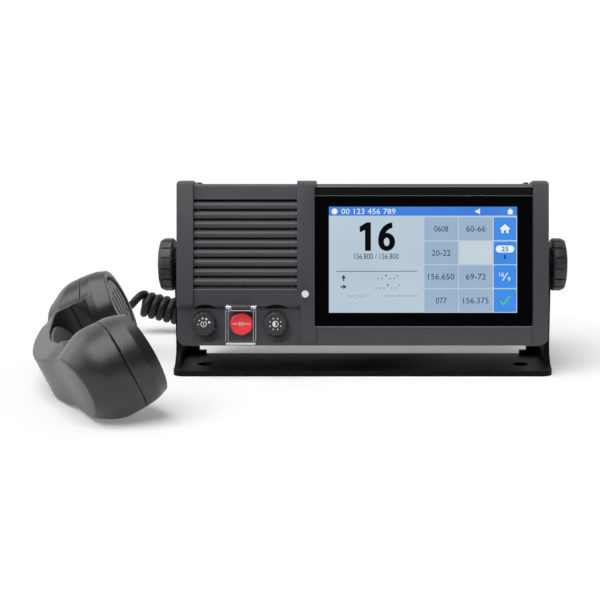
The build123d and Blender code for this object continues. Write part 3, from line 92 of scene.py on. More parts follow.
def new_finish(name):
    material = bpy.data.materials.new(name)
    material.use_nodes = True
    tree = material.node_tree
    tree.nodes.clear()
    return material, tree


def finished(material, tree, inputs, kind="ShaderNodeBsdfPrincipled"):
    """Ends a material in the shader of its surface."""
    surface = add(tree, kind, inputs)
    add(tree, "ShaderNodeOutputMaterial", {"Surface": surface.outputs[0]})
    return material


# ---------------- camera and light
CAMERA_PLACE = (0.87, -921.97, 207.35)
CAMERA_PITCH = math.radians(80)     # up from straight down
CAMERA_LENS = 83.6
CAMERA_SENSOR = 36
CAMERA_SHIFT = -0.1067              # the handset lies far to the left of the unit

KEY_LIGHT = 2.65
KEY_SPREAD = math.radians(56)       # a broad lamp, for soft shadows and broad highlights
KEY_DIRECTION = (0.3, 0.5, -1.0)
SOFTBOXES = {       # place, target, width and height in metres, and watts
    "left_side": ((-1.2, 0.0, 0.62), (-0.17, 0.0, 0.05), 1.4, 1.0, 8),
    "top_left": ((-0.3, 0.2, 1.3), (-0.16, 0.0, 0.05), 0.7, 0.5, 3),
}
FILL_LIGHT = 0.24           # the world's light on the object
ROOM_LIGHT = 0.05           # what a reflection finds in front of the set
ROOM_EDGE = (0.15, 0.6)     # where the room turns into the white backdrop, as a direction's y
FLOOR_SIZE = 16             # metres
FLOOR_MIDDLE = (0, 3, 0)    # metres
FLOOR_LIFT = 0.2            # lifts the floor to white where the camera sees it


def make_camera():
    data = bpy.data.cameras.new("camera")
    data.lens = CAMERA_LENS
    data.sensor_width = CAMERA_SENSOR
    data.shift_x = CAMERA_SHIFT
    camera = bpy.data.objects.new("camera", data)
    camera.location = Vector(CAMERA_PLACE) * MM
    camera.rotation_euler = (CAMERA_PITCH, 0, 0)
    bpy.context.scene.collection.objects.link(camera)
    bpy.context.scene.camera = camera


def backdrop_share(tree):
    """1 for rays that find the background straight, mirrored or through glass, and else 0."""
    rays = add(tree, "ShaderNodeLightPath").outputs
    seen = add(tree, "ShaderNodeMath", {
        0: rays["Is Camera Ray"], 1: rays["Is Transmission Ray"]}, operation="MAXIMUM")
    share = add(tree, "ShaderNodeMath", {
        0: seen.outputs[0], 1: rays["Is Glossy Ray"]}, operation="MAXIMUM")
    return share.outputs[0]


def make_world():
    """Even studio light before a white background; reflections find the room in front dim."""
    world = bpy.data.worlds.new("studio")
    bpy.context.scene.world = world
    world.use_nodes = True
    tree = world.node_tree
    tree.nodes.clear()
    way = add(tree, "ShaderNodeTexCoord").outputs["Generated"]
    room = add(tree, "ShaderNodeMapRange", {
        "Value": add(tree, "ShaderNodeSeparateXYZ", {0: way}).outputs["Y"],
        "From Min": ROOM_EDGE[0], "From Max": ROOM_EDGE[1],
        "To Min": ROOM_LIGHT, "To Max": 1.0}).outputs[0]
    direct = add(tree, "ShaderNodeMath", {
        0: 1.0, 1: add(tree, "ShaderNodeLightPath").outputs["Is Glossy Ray"]}, operation="SUBTRACT")
    plain = add(tree, "ShaderNodeMix", {0: backdrop_share(tree), 2: FILL_LIGHT, 3: 1.0})
    level = add(tree, "ShaderNodeMix", {0: direct.outputs[0], 2: room, 3: plain.outputs[0]})
    light = add(tree, "ShaderNodeBackground", {"Color": colour("ffffff"), "Strength": level.outputs[0]})
    add(tree, "ShaderNodeOutputWorld", {"Surface": light.outputs[0]})


def make_floor():
    """A pale floor that keeps the object's shadow."""
    bpy.ops.mesh.primitive_plane_add(size=FLOOR_SIZE, location=FLOOR_MIDDLE)
    floor = bpy.context.object
    floor.name = "floor"
    finish, tree = new_finish("pale_paper_sweep")
    paper = add(tree, "ShaderNodeBsdfDiffuse", {"Color": colour("ededee")})
    lift = add(tree, "ShaderNodeMath", {0: backdrop_share(tree), 1: FLOOR_LIFT}, operation="MULTIPLY")
    glow = add(tree, "ShaderNodeEmission", {"Color": colour("ffffff"), "Strength": lift.outputs[0]})
    both = {0: paper.outputs[0], 1: glow.outputs[0]}
    floor.data.materials.append(finished(finish, tree, both, "ShaderNodeAddShader"))


def hang(name, data, direction, place=(0, 0, 0)):
    """Hangs a lamp that shines in a direction."""
    lamp = bpy.data.objects.new(name, data)
    lamp.location = place
    lamp.rotation_euler = Vector(direction).to_track_quat("-Z", "Y").to_euler()
    bpy.context.scene.collection.objects.link(lamp)
    return lamp


def key_light():
    """The large high lamp, far enough to light the whole floor alike."""
    data = bpy.data.lights.new("key_high", "SUN")
    data.energy = KEY_LIGHT
    data.angle = KEY_SPREAD
    hang("key_high", data, KEY_DIRECTION)


def softbox(name, place, target, width, height, watts):
    """A rectangular studio lamp turned towards a point; it only makes highlights."""
    data = bpy.data.lights.new(name, "AREA")
    data.shape = "RECTANGLE"
    data.size = width
    data.size_y = height
    data.energy = watts
    lamp = hang(name, data, Vector(target) - Vector(place), place)
    lamp.visible_diffuse = False


def make_studio():
    make_world()
    make_floor()
    key_light()
    for name, facts in SOFTBOXES.items():
        softbox(name, *facts)


# ---------------- pieces
def mesh_piece(name, bm):
    mesh = bpy.data.meshes.new(name)
    bm.to_mesh(mesh)
    bm.free()
    piece = bpy.data.objects.new(name, mesh)
    bpy.context.scene.collection.objects.link(piece)
    return piece


def dress(piece, finish):
    piece.data.materials.clear()
    piece.data.materials.append(finish)


def prism(bm, near, far):
    """Adds a solid between two outlines of as many points, given in metres."""
    front = [bm.verts.new(place) for place in near]
    back = [bm.verts.new(place) for place in far]
    bm.faces.new(front)
    bm.faces.new(reversed(back))
    for i in range(len(front)):
        j = (i + 1) % len(front)
        bm.faces.new((front[j], front[i], back[i], back[j]))


def built(name, bm, finish, body):
    """The piece of a finished bmesh, dressed and riding its body."""
    bmesh.ops.recalc_face_normals(bm, faces=bm.faces)
    piece = mesh_piece(name, bm)
    dress(piece, finish)
    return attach(piece, body)


def unit_box(node):
    """Lowest and highest corner of a node in the upright unit."""
    back = UNIT.inverted()
    corners = [back @ vertex.co / MM for vertex in NODES[node].data.vertices]
    low = Vector([min(c[k] for c in corners) for k in range(3)])
    high = Vector([max(c[k] for c in corners) for k in range(3)])
    return low, high


def face_middle(node):
    """x and z of the middle of a node seen from the front, and y of its front."""
    low, high = unit_box(node)
    return (low.x + high.x) / 2, (low.z + high.z) / 2, low.y


# ---------------- cords
CABLE_R = 2.9
HELIX_R = 7.15          # middle of the cable to the middle of the coil
HELIX_PITCH = 5.8
LOOSE_PITCH = 24.0      # where the coil opens towards the handset
OPENING = 22.0          # length over which it opens
CLOSING = 14.0          # length over which it closes towards the plug
STEPS_PER_TURN = 20
CABLE_SIDES = 12
ROUTE_STEPS = 24        # points of a route's curve between two of its guides

GLAND_END = (-196.74, 60.91, 29.1)
HANDSET_LEAD = [
    GLAND_END,
    (-199.7, 72.54, 29.1),
    (-199.4, 87.5, 29.1),
    (-194.5, 99.5, 28.9),
    (-185.5, 107.5, 27.6),
    (-174.71, 110.17, 25.26),
    (-166.0, 110.0, 23.0),
]
COIL = [
    (-166.0, 110.0, 23.0),
    (-141.0, 109.5, 16.5),
    (-108.0, 109.0, 10.6),
    (-64.0, 109.5, 10.1),
    (-20.0, 108.5, 11.5),
    (12.0, 105.5, 18.0),
    (31.0, 103.8, 27.0),
    (46.0, 104.5, 31.0),
    (60.5, 104.5, 31.0),
]
PLUG_END = (85.0, 74.67, 31.46)
UNIT_LEAD = [
    PLUG_END,
    (85.0, 90.56, 28.66),
    (79.9, 99.39, 29.5),
    (71.07, 104.5, 31.0),
    (60.5, 104.5, 31.0),
]


def cord_line(points):
    """Points in metres along the smooth curve that a cord's route guides."""
    data = bpy.data.curves.new("route", "CURVE")
    data.dimensions = "3D"
    data.resolution_u = ROUTE_STEPS
    spline = data.splines.new("NURBS")
    spline.points.add(len(points) - 1)
    for stop, place in zip(spline.points, points):
        stop.co = (*(Vector(place) * MM), 1)
    spline.order_u = 3
    spline.use_endpoint_u = True
    holder = bpy.data.objects.new("route", data)
    mesh = bpy.data.meshes.new_from_object(holder)
    line = [vertex.co.copy() for vertex in mesh.vertices]
    bpy.data.objects.remove(holder)
    bpy.data.meshes.remove(mesh)
    bpy.data.curves.remove(data)
    return line


def line_length(line):
    return sum((b - a).length for a, b in zip(line, line[1:]))


def walk(line, step):
    """(distance, point, direction) at even steps along a line."""
    total = line_length(line)
    count = math.ceil(total / step)
    stops = []
    k = 0
    passed = 0.0
    for i in range(count + 1):
        want = total * i / count
        while k < len(line) - 2 and passed + (line[k + 1] - line[k]).length < want:
            passed += (line[k + 1] - line[k]).length
            k += 1
        run = line[k + 1] - line[k]
        stops.append((want, line[k] + run.normalized() * (want - passed), run.normalized()))
    return stops


def cable(name, line):
    """The skin of the round cable along a line, with a flat end each side."""
    bm = bmesh.new()
    across = Vector((0, 0, 1))
    rings = []
    for k, point in enumerate(line):
        ahead = line[min(k + 1, len(line) - 1)] - line[max(k - 1, 0)]
        along = ahead.normalized()
        across = (across - along * across.dot(along)).normalized()
        side = along.cross(across)
        ring = []
        for i in range(CABLE_SIDES):
            turn = 2 * math.pi * i / CABLE_SIDES
            out = across * math.cos(turn) + side * math.sin(turn)
            ring.append(bm.verts.new(point + out * (CABLE_R * MM)))
        rings.append(ring)
    for a, b in zip(rings, rings[1:]):
        for i in range(CABLE_SIDES):
            j = (i + 1) % CABLE_SIDES
            bm.faces.new((a[i], a[j], b[j], b[i]))
    bm.faces.new(reversed(rings[0]))
    bm.faces.new(rings[-1])
    bmesh.ops.recalc_face_normals(bm, faces=bm.faces)
    for face in bm.faces:
        face.smooth = len(face.verts) == 4
    piece = mesh_piece(name, bm)
    dress(piece, FINISHES["cord_sheath"])
    return piece


def curly_line():
    """The lead out of the handset, opening into the curly cord's helix and closing at its end."""
    lead = cord_line(HANDSET_LEAD)
    coil = cord_line(COIL)
    lead_length = line_length(lead)
    end = lead_length + line_length(coil)
    step = HELIX_PITCH * MM / STEPS_PER_TURN
    line = []
    for distance, point, along in walk(lead + coil[1:], step):
        gone = distance - lead_length
        opened = min(max((gone + OPENING * MM) / (OPENING * MM), 0), 1)
        closed = min((end - distance) / (CLOSING * MM), 1)
        radius = HELIX_R * MM * math.sin(opened * math.pi / 2) * math.sin(closed * math.pi / 2)
        pitch = (HELIX_PITCH if gone > 0 else LOOSE_PITCH) * MM
        turn = math.pi * (1 + 2 * gone / pitch)
        level = Vector((0, 0, 1)).cross(along).normalized()
        rise = along.cross(level)
        line.append(point - rise * (radius * math.cos(turn)) - level * (radius * math.sin(turn)))
    return line


def make_cords():
    curly = curly_line()
    handset_cord = cable("handset_cord", curly)
    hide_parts("handset_lead", "curly_cord")
    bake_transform(handset_cord)
    lead = cord_line(UNIT_LEAD)
    plug_cord = cable("plug_cord", lead)
    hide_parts("unit_lead")
    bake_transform(plug_cord)


# ---------------- finishes
CLOUD = 45.0            # size of the slow variation over a moulded face
SLAT_FRONT = -30.1      # y at which the painted shade between the slats begins
SLAT_BACK = -28.9       # y at which the painted shade is darkest


def pattern(tree, kind, size, more=()):
    """A texture whose features are about size millimetres across."""
    where = add(tree, "ShaderNodeTexCoord").outputs["Object"]
    inputs = {"Vector": where, "Scale": 1 / (size * MM), **dict(more)}
    return add(tree, kind, inputs).outputs["Fac"]


def noise(tree, size, detail=2.0):
    return pattern(tree, "ShaderNodeTexNoise", size, {"Detail": detail})


def spread(tree, source, low, high):
    """A noise's usual range stretched to run from low to high."""
    return add(tree, "ShaderNodeMapRange", {
        "Value": source, "From Min": 0.3, "From Max": 0.7, "To Min": low, "To Max": high}).outputs[0]


def mixed(tree, share, first, second):
    """From the first colour to the second by a share; each is a hex value or a node's output."""
    ends = [colour(end) if isinstance(end, str) else end for end in (first, second)]
    mix = add(tree, "ShaderNodeMix", {0: share, 6: ends[0], 7: ends[1]}, data_type="RGBA")
    return mix.outputs[2]


def clouded(tree, size, shade, light, detail=2.0):
    """A colour that drifts between two hex values, in clouds of a real size."""
    return mixed(tree, spread(tree, noise(tree, size, detail), 0, 1), shade, light)


def relief(tree, height, depth):
    """Surface relief of a real depth in millimetres."""
    return add(tree, "ShaderNodeBump", {"Height": height, "Distance": depth * MM}).outputs[0]


def moulded(name, shade, light, rough, grain, depth, gloss=0.5):
    """Injection-moulded plastic: even colour, and a spark-eroded grain that breaks up its gloss."""
    material, tree = new_finish(name)
    grit = noise(tree, grain)
    return finished(material, tree, {
        "Base Color": clouded(tree, CLOUD, shade, light),
        "Roughness": spread(tree, grit, rough - 0.03, rough + 0.03),
        "IOR": 1.52,
        "Specular IOR Level": gloss,
        "Normal": relief(tree, grit, depth),
    })


def slatted_case(shade, light, deep):
    """The case's moulded plastic, with painted shade between the slats where little light reaches."""
    material, tree = new_finish("moulded_grille_painted_shade")
    grit = noise(tree, 1.1)
    inward = UNIT.to_3x3() @ Vector((0, 1, 0))
    axis = inward.dot(UNIT.translation)
    place = add(tree, "ShaderNodeTexCoord").outputs["Object"]
    depth = add(tree, "ShaderNodeVectorMath", {0: place, 1: inward}, operation="DOT_PRODUCT")
    shade_share = add(tree, "ShaderNodeMapRange", {
        "Value": depth.outputs["Value"],
        "From Min": axis + SLAT_FRONT * MM, "From Max": axis + SLAT_BACK * MM}).outputs[0]
    return finished(material, tree, {
        "Base Color": mixed(tree, shade_share, clouded(tree, CLOUD, shade, light), deep),
        "Roughness": spread(tree, grit, 0.47, 0.53),
        "IOR": 1.52,
        "Specular IOR Level": add(tree, "ShaderNodeMapRange", {
            "Value": shade_share, "To Min": 0.5, "To Max": 0.05}).outputs[0],
        "Normal": relief(tree, grit, 0.05),
    })


def cast_case():
    """Die-cast aluminium under dark polyester powder paint: a soft orange-peel sheen."""
    material, tree = new_finish("powder_coated_cast_aluminium")
    return finished(material, tree, {
        "Base Color": clouded(tree, CLOUD, "37363a", "3e3d41"),
        "Roughness": spread(tree, noise(tree, 0.8), 0.46, 0.58),
        "IOR": 1.5,
        "Normal": relief(tree, noise(tree, 1.6), 0.05),
    })


def cable_sheath():
    """Extruded polyurethane: satin black, with faint draw marks and a little dust."""
    material, tree = new_finish("extruded_polyurethane_sheath")
    return finished(material, tree, {
        "Base Color": clouded(tree, 3.0, "161618", "1d1d1f", 4.0),
        "Roughness": spread(tree, noise(tree, 0.9), 0.42, 0.55),
        "IOR": 1.5,
        "Specular IOR Level": 0.3,
        "Normal": relief(tree, noise(tree, 0.9), 0.02),
    })


def silicone(name, shade, light):
    """Moulded silicone or foam rubber: matt, slightly dusty."""
    material, tree = new_finish(name)
    return finished(material, tree, {
        "Base Color": clouded(tree, 2.0, shade, light),
        "Roughness": 0.8,
        "Normal": relief(tree, noise(tree, 0.5), 0.03),
    })


def red_cap():
    """Gloss red ABS: saturated, with a soft edge to its highlights."""
    material, tree = new_finish("gloss_moulded_red_abs")
    return finished(material, tree, {
        "Base Color": clouded(tree, 6.0, "fb3b42", "ff454b"),
        "Roughness": 0.28,
        "IOR": 1.53,
        "Normal": relief(tree, noise(tree, 1.2), 0.008),
    })


def clear_cover():
    """Polished polycarbonate: clear faces whose edges and walls catch the light."""
    material, tree = new_finish("polished_clear_polycarbonate")
    return finished(material, tree, {
        "Base Color": colour("f4f6f8"),
        "Transmission Weight": 1.0,
        "IOR": 1.585,
        "Roughness": spread(tree, noise(tree, 2.5), 0.02, 0.06),
        "Normal": relief(tree, noise(tree, 5.0), 0.01),
    })


def cover_glass():
    """Strengthened glass printed black on its inner side: deep black, faintly smeared by handling."""
    material, tree = new_finish("black_printed_cover_glass")
    return finished(material, tree, {
        "Base Color": clouded(tree, 30.0, "040405", "070708"),
        "Roughness": spread(tree, noise(tree, 14.0, 4.0), 0.06, 0.12),
        "IOR": 1.5,
        "Specular IOR Level": 0.12,
    })


def metal(name, shade, light, rough, brushed):
    """A plated or machined metal: fine turning marks brushed millimetres apart."""
    material, tree = new_finish(name)
    marks = noise(tree, brushed)
    return finished(material, tree, {
        "Base Color": mixed(tree, spread(tree, marks, 0, 1), shade, light),
        "Metallic": 1.0,
        "Roughness": spread(tree, marks, rough - 0.06, rough + 0.06),
        "Normal": relief(tree, marks, 0.01),
    })


def circuit_board():
    """Glass-fibre board under green solder mask, with the weave just showing."""
    material, tree = new_finish("solder_masked_fibreglass")
    weave = pattern(tree, "ShaderNodeTexBrick", 4.0)
    return finished(material, tree, {
        "Base Color": mixed(tree, weave, "0f5a32", "177a46"),
        "Roughness": 0.35,
        "Normal": relief(tree, weave, 0.03),
    })


def woven_cloth():
    """Black acoustic cloth: a plain weave with half a millimetre between threads."""
    material, tree = new_finish("woven_acoustic_cloth")
    threads = pattern(tree, "ShaderNodeTexChecker", 0.5)
    return finished(material, tree, {
        "Base Color": mixed(tree, threads, "0c0c0d", "18181a"),
        "Roughness": 0.95,
        "Normal": relief(tree, threads, 0.1),
    })


def pressed(name, shade, light, fibre, rough):
    """Pressed fibre or sintered powder: mottled and matt."""
    material, tree = new_finish(name)
    return finished(material, tree, {
        "Base Color": clouded(tree, fibre, shade, light, 5.0),
        "Roughness": rough,
        "Normal": relief(tree, noise(tree, fibre, 5.0), 0.08),
    })


def lit(name, shade, light):
    """A lit area of the display: its own light, a little uneven behind the panel."""
    material, tree = new_finish(name)
    return finished(material, tree, {
        "Base Color": colour("050505"),
        "Emission Color": clouded(tree, 55.0, shade, light),
        "Emission Strength": 1.0,
        "Roughness": 0.3,
        "Specular IOR Level": 0.1,
    })


def printed(name, shade, light):
    """Screen-printed ink: flat and matt, slightly uneven in its cover."""
    material, tree = new_finish(name)
    return finished(material, tree, {
        "Base Color": clouded(tree, 0.8, shade, light),
        "Roughness": 0.55,
        "Normal": relief(tree, noise(tree, 0.5), 0.01),
    })


FINISHES = {        # by material slot
    # slate grey, with a fine grain that keeps the faces soft and even
    "case_plastic": moulded("moulded_polycarbonate_case", "39373c", "3f3d42", 0.5, 1.1, 0.05),
    # nearly black and almost without gloss, so that the bracket stays behind the unit
    "bracket_plastic": moulded("moulded_glass_filled_nylon", "060607", "09090a", 0.55, 1.3, 0.05, 0.12),
    # dark satin that shows its form by broad highlights
    "handset_plastic": moulded("moulded_satin_abs", "1a191c", "1f1e21", 0.36, 0.9, 0.008, 0.58),
    # darker than the case, and as dull
    "knob_plastic": moulded("moulded_soft_touch_knob", "29292c", "303033", 0.5, 0.9, 0.05),
    "cord_sheath": cable_sheath(),
    "seal_rubber": silicone("moulded_silicone_seal", "1c1c1e", "2c2c2e"),
    "red_plastic": red_cap(),
    "clear_cover": clear_cover(),
    "cover_glass": cover_glass(),
    # stays dark round the lit picture
    "display_panel": lit("unlit_display_panel", "0a0c10", "0e1116"),
    "cast_case": cast_case(),
    # bright and cool
    "plated_steel": metal("bright_zinc_plated_steel", "b9bbbe", "cfd1d4", 0.3, 0.8),
    # greyer and a little duller than the zinc
    "screw_steel": metal("stainless_steel_screw", "a2a4a7", "babcbf", 0.34, 0.6),
    # warm yellow among the grey metals
    "brass_parts": metal("turned_brass", "b8923f", "cda956", 0.3, 0.7),
    "circuit_board": circuit_board(),
    # plain dark parts with hardly any grain
    "switch_plastic": moulded("moulded_black_nylon", "1b1b1d", "222224", 0.5, 0.8, 0.03),
    # black felted paper
    "paper_cone": pressed("pressed_paper_cone", "1d1c1c", "292827", 1.5, 0.9),
    "acoustic_cloth": woven_cloth(),
    # coarse dark grey, like stone
    "ferrite": pressed("sintered_ferrite", "2b2a2c", "38373a", 2.5, 0.7),
}
# painted shade darkens the grille between its slats
GRILLE_FINISH = slatted_case("403e43", "464449", "040405")
# satin like the handset's shell, but lighter with painted light, so that the paddle stands out
PADDLE_PAINTED_LIGHT = moulded("painted_light_satin_paddle", "4a494d", "515054", 0.38, 0.9, 0.008)
# between the two, for the slotted discs in the caps
DISC_FINISH = moulded("moulded_satin_disc", "333236", "3a393d", 0.41, 0.9, 0.008)
# painted shade, nearly black and matt: slots and grooves so deep that no light comes back
SLOT_SHADE_FINISH = moulded("painted_slot_shade", "060607", "09090a", 0.7, 1.0, 0.02, 0.1)
# painted shade, dark and matt: the shaded hollow above a rotary knob
HOLLOW_SHADE_FINISH = moulded("moulded_shaded_hollow", "18181a", "1e1e20", 0.7, 1.0, 0.02, 0.1)
# smooth black, which joins the wall above the glass to the glass
SURROUND_FINISH = moulded("moulded_black_surround", "060607", "09090a", 0.4, 1.0, 0.02, 0.1)
# painted highlight: a thin bright line along the case's edges, where they catch the light
EDGE_HIGHLIGHT_FINISH = moulded("painted_edge_highlight", "77767b", "838287", 0.35, 0.8, 0.01)
# painted highlights on the edges of clear plastic, which gather the light of the whole sheet
COVER_EDGE_HIGHLIGHT = moulded("painted_cover_edge_highlight", "8d8e92", "9c9da1", 0.3, 1.5, 0.02)
COVER_END_HIGHLIGHT = moulded("painted_bright_cover_highlight", "d2d3d6", "dedfe2", 0.3, 1.5, 0.02)
# crisp white on the dark parts, and a pale mark that stays quiet on the red
WHITE_INK = printed("white_screen_print", "dcdcdf", "e8e8ea")
PINK_INK = printed("pale_screen_print", "f2b5b2", "f7c4c0")


def finish_nodes():
    """Every node of the frame gets the finish of its own slot."""
    for name, node in NODES.items():
        node.data.materials.clear()
        node.data.materials.append(FINISHES[SLOT_OF[name]])


# ---------------- softened forms
SOFT_EDGES = {
    "mounting_bracket": 0.5, "front_bezel": 0.35, "speaker_grille": 0.25, "rear_housing": 0.5,
    "left_clamp_knob": 0.4, "right_clamp_knob": 0.4, "volume_knob": 0.25, "dimmer_knob": 0.25,
    "distress_button": 0.3, "screen_glass": 0.2, "handset_plug": 0.3, "cord_gland": 0.4,
}
COVER_EDGE = 0.4
SOFT_FROM = math.radians(32)        # edges sharper than this are rounded
FLAT_BELOW = math.radians(0.4)      # faces flatter than this are joined first
WELD_PART = 3           # corners closer than a third of the rounding are joined too
SLIVER_PART = 6         # and edges shorter than a sixth of it are taken out

SKINS = {       # grain in millimetres, and passes of smoothing
    "handset_back_shell": (0.7, 10), "mouthpiece_cap": (0.4, 5), "earpiece_cap": (0.4, 5),
    "talk_paddle": (0.6, 8),
}
OWN_FINISHES = {"speaker_grille": GRILLE_FINISH, "talk_paddle": PADDLE_PAINTED_LIGHT}

HANDSET_PLACE = (-145.8, -58.2, 38.4)   # between the two caps
HANDSET_YAW = math.radians(14.3)
HANDSET_ROLL = math.radians(25)
NECK_X = 61.0           # where the grip meets a head
NECK_HALF = 9.0         # half the width of the hollow there
NECK_IN = 0.15          # share by which the sides draw in
SKIN_WELD = 0.001       # corners closer than this are joined before a skin is laid


def stand_in(piece, node):
    """Dresses a form, and puts it in the place of its node."""
    dress(piece, OWN_FINISHES.get(node, FINISHES[SLOT_OF[node]]))
    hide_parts(node)
    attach(piece, BODY_OF[node])
    return piece


def softened(node, edge):
    """A copy of a frame node with rounded edges, which stands for it."""
    bm = bmesh.new()
    bm.from_mesh(NODES[node].data)
    bmesh.ops.remove_doubles(bm, verts=bm.verts, dist=edge * MM / WELD_PART)
    bmesh.ops.dissolve_degenerate(bm, edges=bm.edges, dist=edge * MM / SLIVER_PART)
    bmesh.ops.dissolve_limit(
        bm, angle_limit=FLAT_BELOW, verts=bm.verts, edges=bm.edges, delimit={"NORMAL"})
    for face in bm.faces:
        face.smooth = True
    piece = mesh_piece(node + "_form", bm)
    if "custom_normal" in piece.data.attributes:
        piece.data.attributes.remove(piece.data.attributes["custom_normal"])
    bevel = piece.modifiers.new("rounded_edges", "BEVEL")
    bevel.width = edge * MM
    bevel.segments = 2
    bevel.limit_method = "ANGLE"
    bevel.angle_limit = SOFT_FROM
    bevel.use_clamp_overlap = True
    bevel.harden_normals = True
    return stand_in(piece, node)


def handset_frame():
    """x along the handset, y the way its caps face, z across it."""
    along = Vector((-math.sin(HANDSET_YAW), math.cos(HANDSET_YAW), 0))
    level = Vector((math.cos(HANDSET_YAW), math.sin(HANDSET_YAW), 0))
    facing = level * math.cos(HANDSET_ROLL) + Vector((0, 0, math.sin(HANDSET_ROLL)))
    axes = Matrix((along, facing, along.cross(facing))).transposed().to_4x4()
    return Matrix.Translation(Vector(HANDSET_PLACE) * MM) @ axes


def skinned(node, grain, passes):
    """A copy of a handset node as an even skin with soft creases, drawn in at the neck."""
    bm = bmesh.new()
    bm.from_mesh(NODES[node].data)
    bmesh.ops.remove_doubles(bm, verts=bm.verts, dist=SKIN_WELD * MM)
    source = mesh_piece(node + "_source", bm)
    remesh = source.modifiers.new("even_skin", "REMESH")
    remesh.mode = "VOXEL"
    remesh.voxel_size = grain * MM
    smooth = source.modifiers.new("soft_creases", "SMOOTH")
    smooth.factor = 0.5
    smooth.iterations = passes
    graph = bpy.context.evaluated_depsgraph_get()
    mesh = bpy.data.meshes.new_from_object(source.evaluated_get(graph))
    bpy.data.objects.remove(source)
    place = handset_frame()
    mesh.transform(place.inverted())
    for vertex in mesh.vertices:
        off = (abs(vertex.co.x) / MM - NECK_X) / NECK_HALF
        vertex.co.z *= 1 - NECK_IN * math.exp(-off * off)
    mesh.transform(place)
    mesh.shade_smooth()
    piece = bpy.data.objects.new(node + "_form", mesh)
    bpy.context.scene.collection.objects.link(piece)
    return stand_in(piece, node)


def soften_nodes():
    for node, edge in SOFT_EDGES.items():
        softened(node, edge)
    for node, (grain, passes) in SKINS.items():
        skinned(node, grain, passes)
    cover = softened("distress_cover", COVER_EDGE)
    cover.visible_shadow = False


# ---------------- outlines in x and z
def sweep(x, z, across, up, start, end, steps):
    """Points along a stretch of an ellipse, its angles in degrees."""
    turns = [math.radians(start + (end - start) * k / steps) for k in range(steps + 1)]
    return [(x + across * math.cos(turn), z + up * math.sin(turn)) for turn in turns]


def disc(x, z, radius, steps=24):
    return sweep(x, z, radius, radius, 0, 360, steps)[:-1]


def bar(x0, z0, x1, z1, width):
    """A straight stroke with square ends."""
    length = math.hypot(x1 - x0, z1 - z0)
    a = (z0 - z1) / length * width / 2
    b = (x1 - x0) / length * width / 2
    return [(x0 + a, z0 + b), (x0 - a, z0 - b), (x1 - a, z1 - b), (x1 + a, z1 + b)]


def arc(x, z, radius, start, end, width, steps):
    """A curved stroke, its angles in degrees; from 0 to 360 it is a ring."""
    outer = radius + width / 2
    inner = radius - width / 2
    return sweep(x, z, outer, outer, start, end, steps) + sweep(x, z, inner, inner, end, start, steps)


def box_shape(x0, x1, z0, z1, corner=0.0):
    """A rectangle, its corners round if a radius is given."""
    if not corner:
        return [(x0, z0), (x1, z0), (x1, z1), (x0, z1)]
    shape = []
    for x, z, start in (
            (x1 - corner, z0 + corner, 270), (x1 - corner, z1 - corner, 0),
            (x0 + corner, z1 - corner, 90), (x0 + corner, z0 + corner, 180)):
        shape += sweep(x, z, corner, corner, start, start + 90, 4)
    return shape


def shifted(points, x, z):
    return [(x + a, z + b) for a, b in points]


def plates(name, shapes, front, thickness, finish, body="control_unit"):
    """Thin flat pieces on the unit's face, their fronts at y = front."""
    bm = bmesh.new()
    for shape in shapes:
        near = [UNIT @ (Vector((x, front, z)) * MM) for x, z in shape]
        far = [UNIT @ (Vector((x, front + thickness, z)) * MM) for x, z in shape]
        prism(bm, near, far)
    return built(name, bm, finish, body)


# ---------------- screen picture
MODULE_MARGIN = 6.2     # picture inside the display module
INK = 0.03              # thickness of one layer of the picture

MODULE_LOW, MODULE_HIGH = unit_box("display_module")
PICTURE_LEFT = MODULE_LOW.x + MODULE_MARGIN
PICTURE_TOP = MODULE_HIGH.z - MODULE_MARGIN
PICTURE_W = MODULE_HIGH.x - MODULE_MARGIN - PICTURE_LEFT
PICTURE_H = PICTURE_TOP - MODULE_LOW.z - MODULE_MARGIN
PICTURE_FRONT = unit_box("screen_glass")[0].y

STATUS_H = 5.8
STATUS_MIDDLE = 3.0
KEY_X = (61.8, 84.3, 106.8)         # left sides of the three columns
KEY_W = (21.9, 21.8, 14.6)
KEY_Y = (6.9, 22.5, 37.9, 53.4)     # upper sides of the four rows
KEY_H = 14.8
KEY_CORNER = 0.8
BLANK_KEY = (1, 1)                  # column and row
KEY_DIGIT_H = 3.8
KEY_NUMBERS = {     # by column and row: generic channel numbers, and their widths
    (0, 0): ("0608", 9.0), (1, 0): ("60-66", 12.5), (0, 1): ("20-22", 12.0),
    (0, 2): ("156.650", 17.0), (1, 2): ("69-72", 13.0), (0, 3): ("077", 7.0),
    (1, 3): ("156.375", 16.5),
}

# the channel's digits, in the picture's own x and y
DIGIT_TOP = 10.1
DIGIT_FOOT = 28.6
ONE = [
    (19.9, 12.9), (24.5, DIGIT_TOP), (27.2, DIGIT_TOP), (27.2, DIGIT_FOOT),
    (23.35, DIGIT_FOOT), (23.35, 15.2), (19.9, 16.6)]
STEM_MIDDLE = (41.5, 21.5)          # of the curve of the six's stem
STEM_OUTER = (9.6, 11.35)           # reach across and up
STEM_INNER = (5.9, 7.65)
STEM_TIP = 93                       # degrees
STEM_FOOT = 1.5                     # how far the stem goes on below its curve
BOWL_MIDDLE = (37.4, 22.8)
BOWL_OUTER = (5.5, 5.9)
BOWL_INNER = (1.8, 2.7)

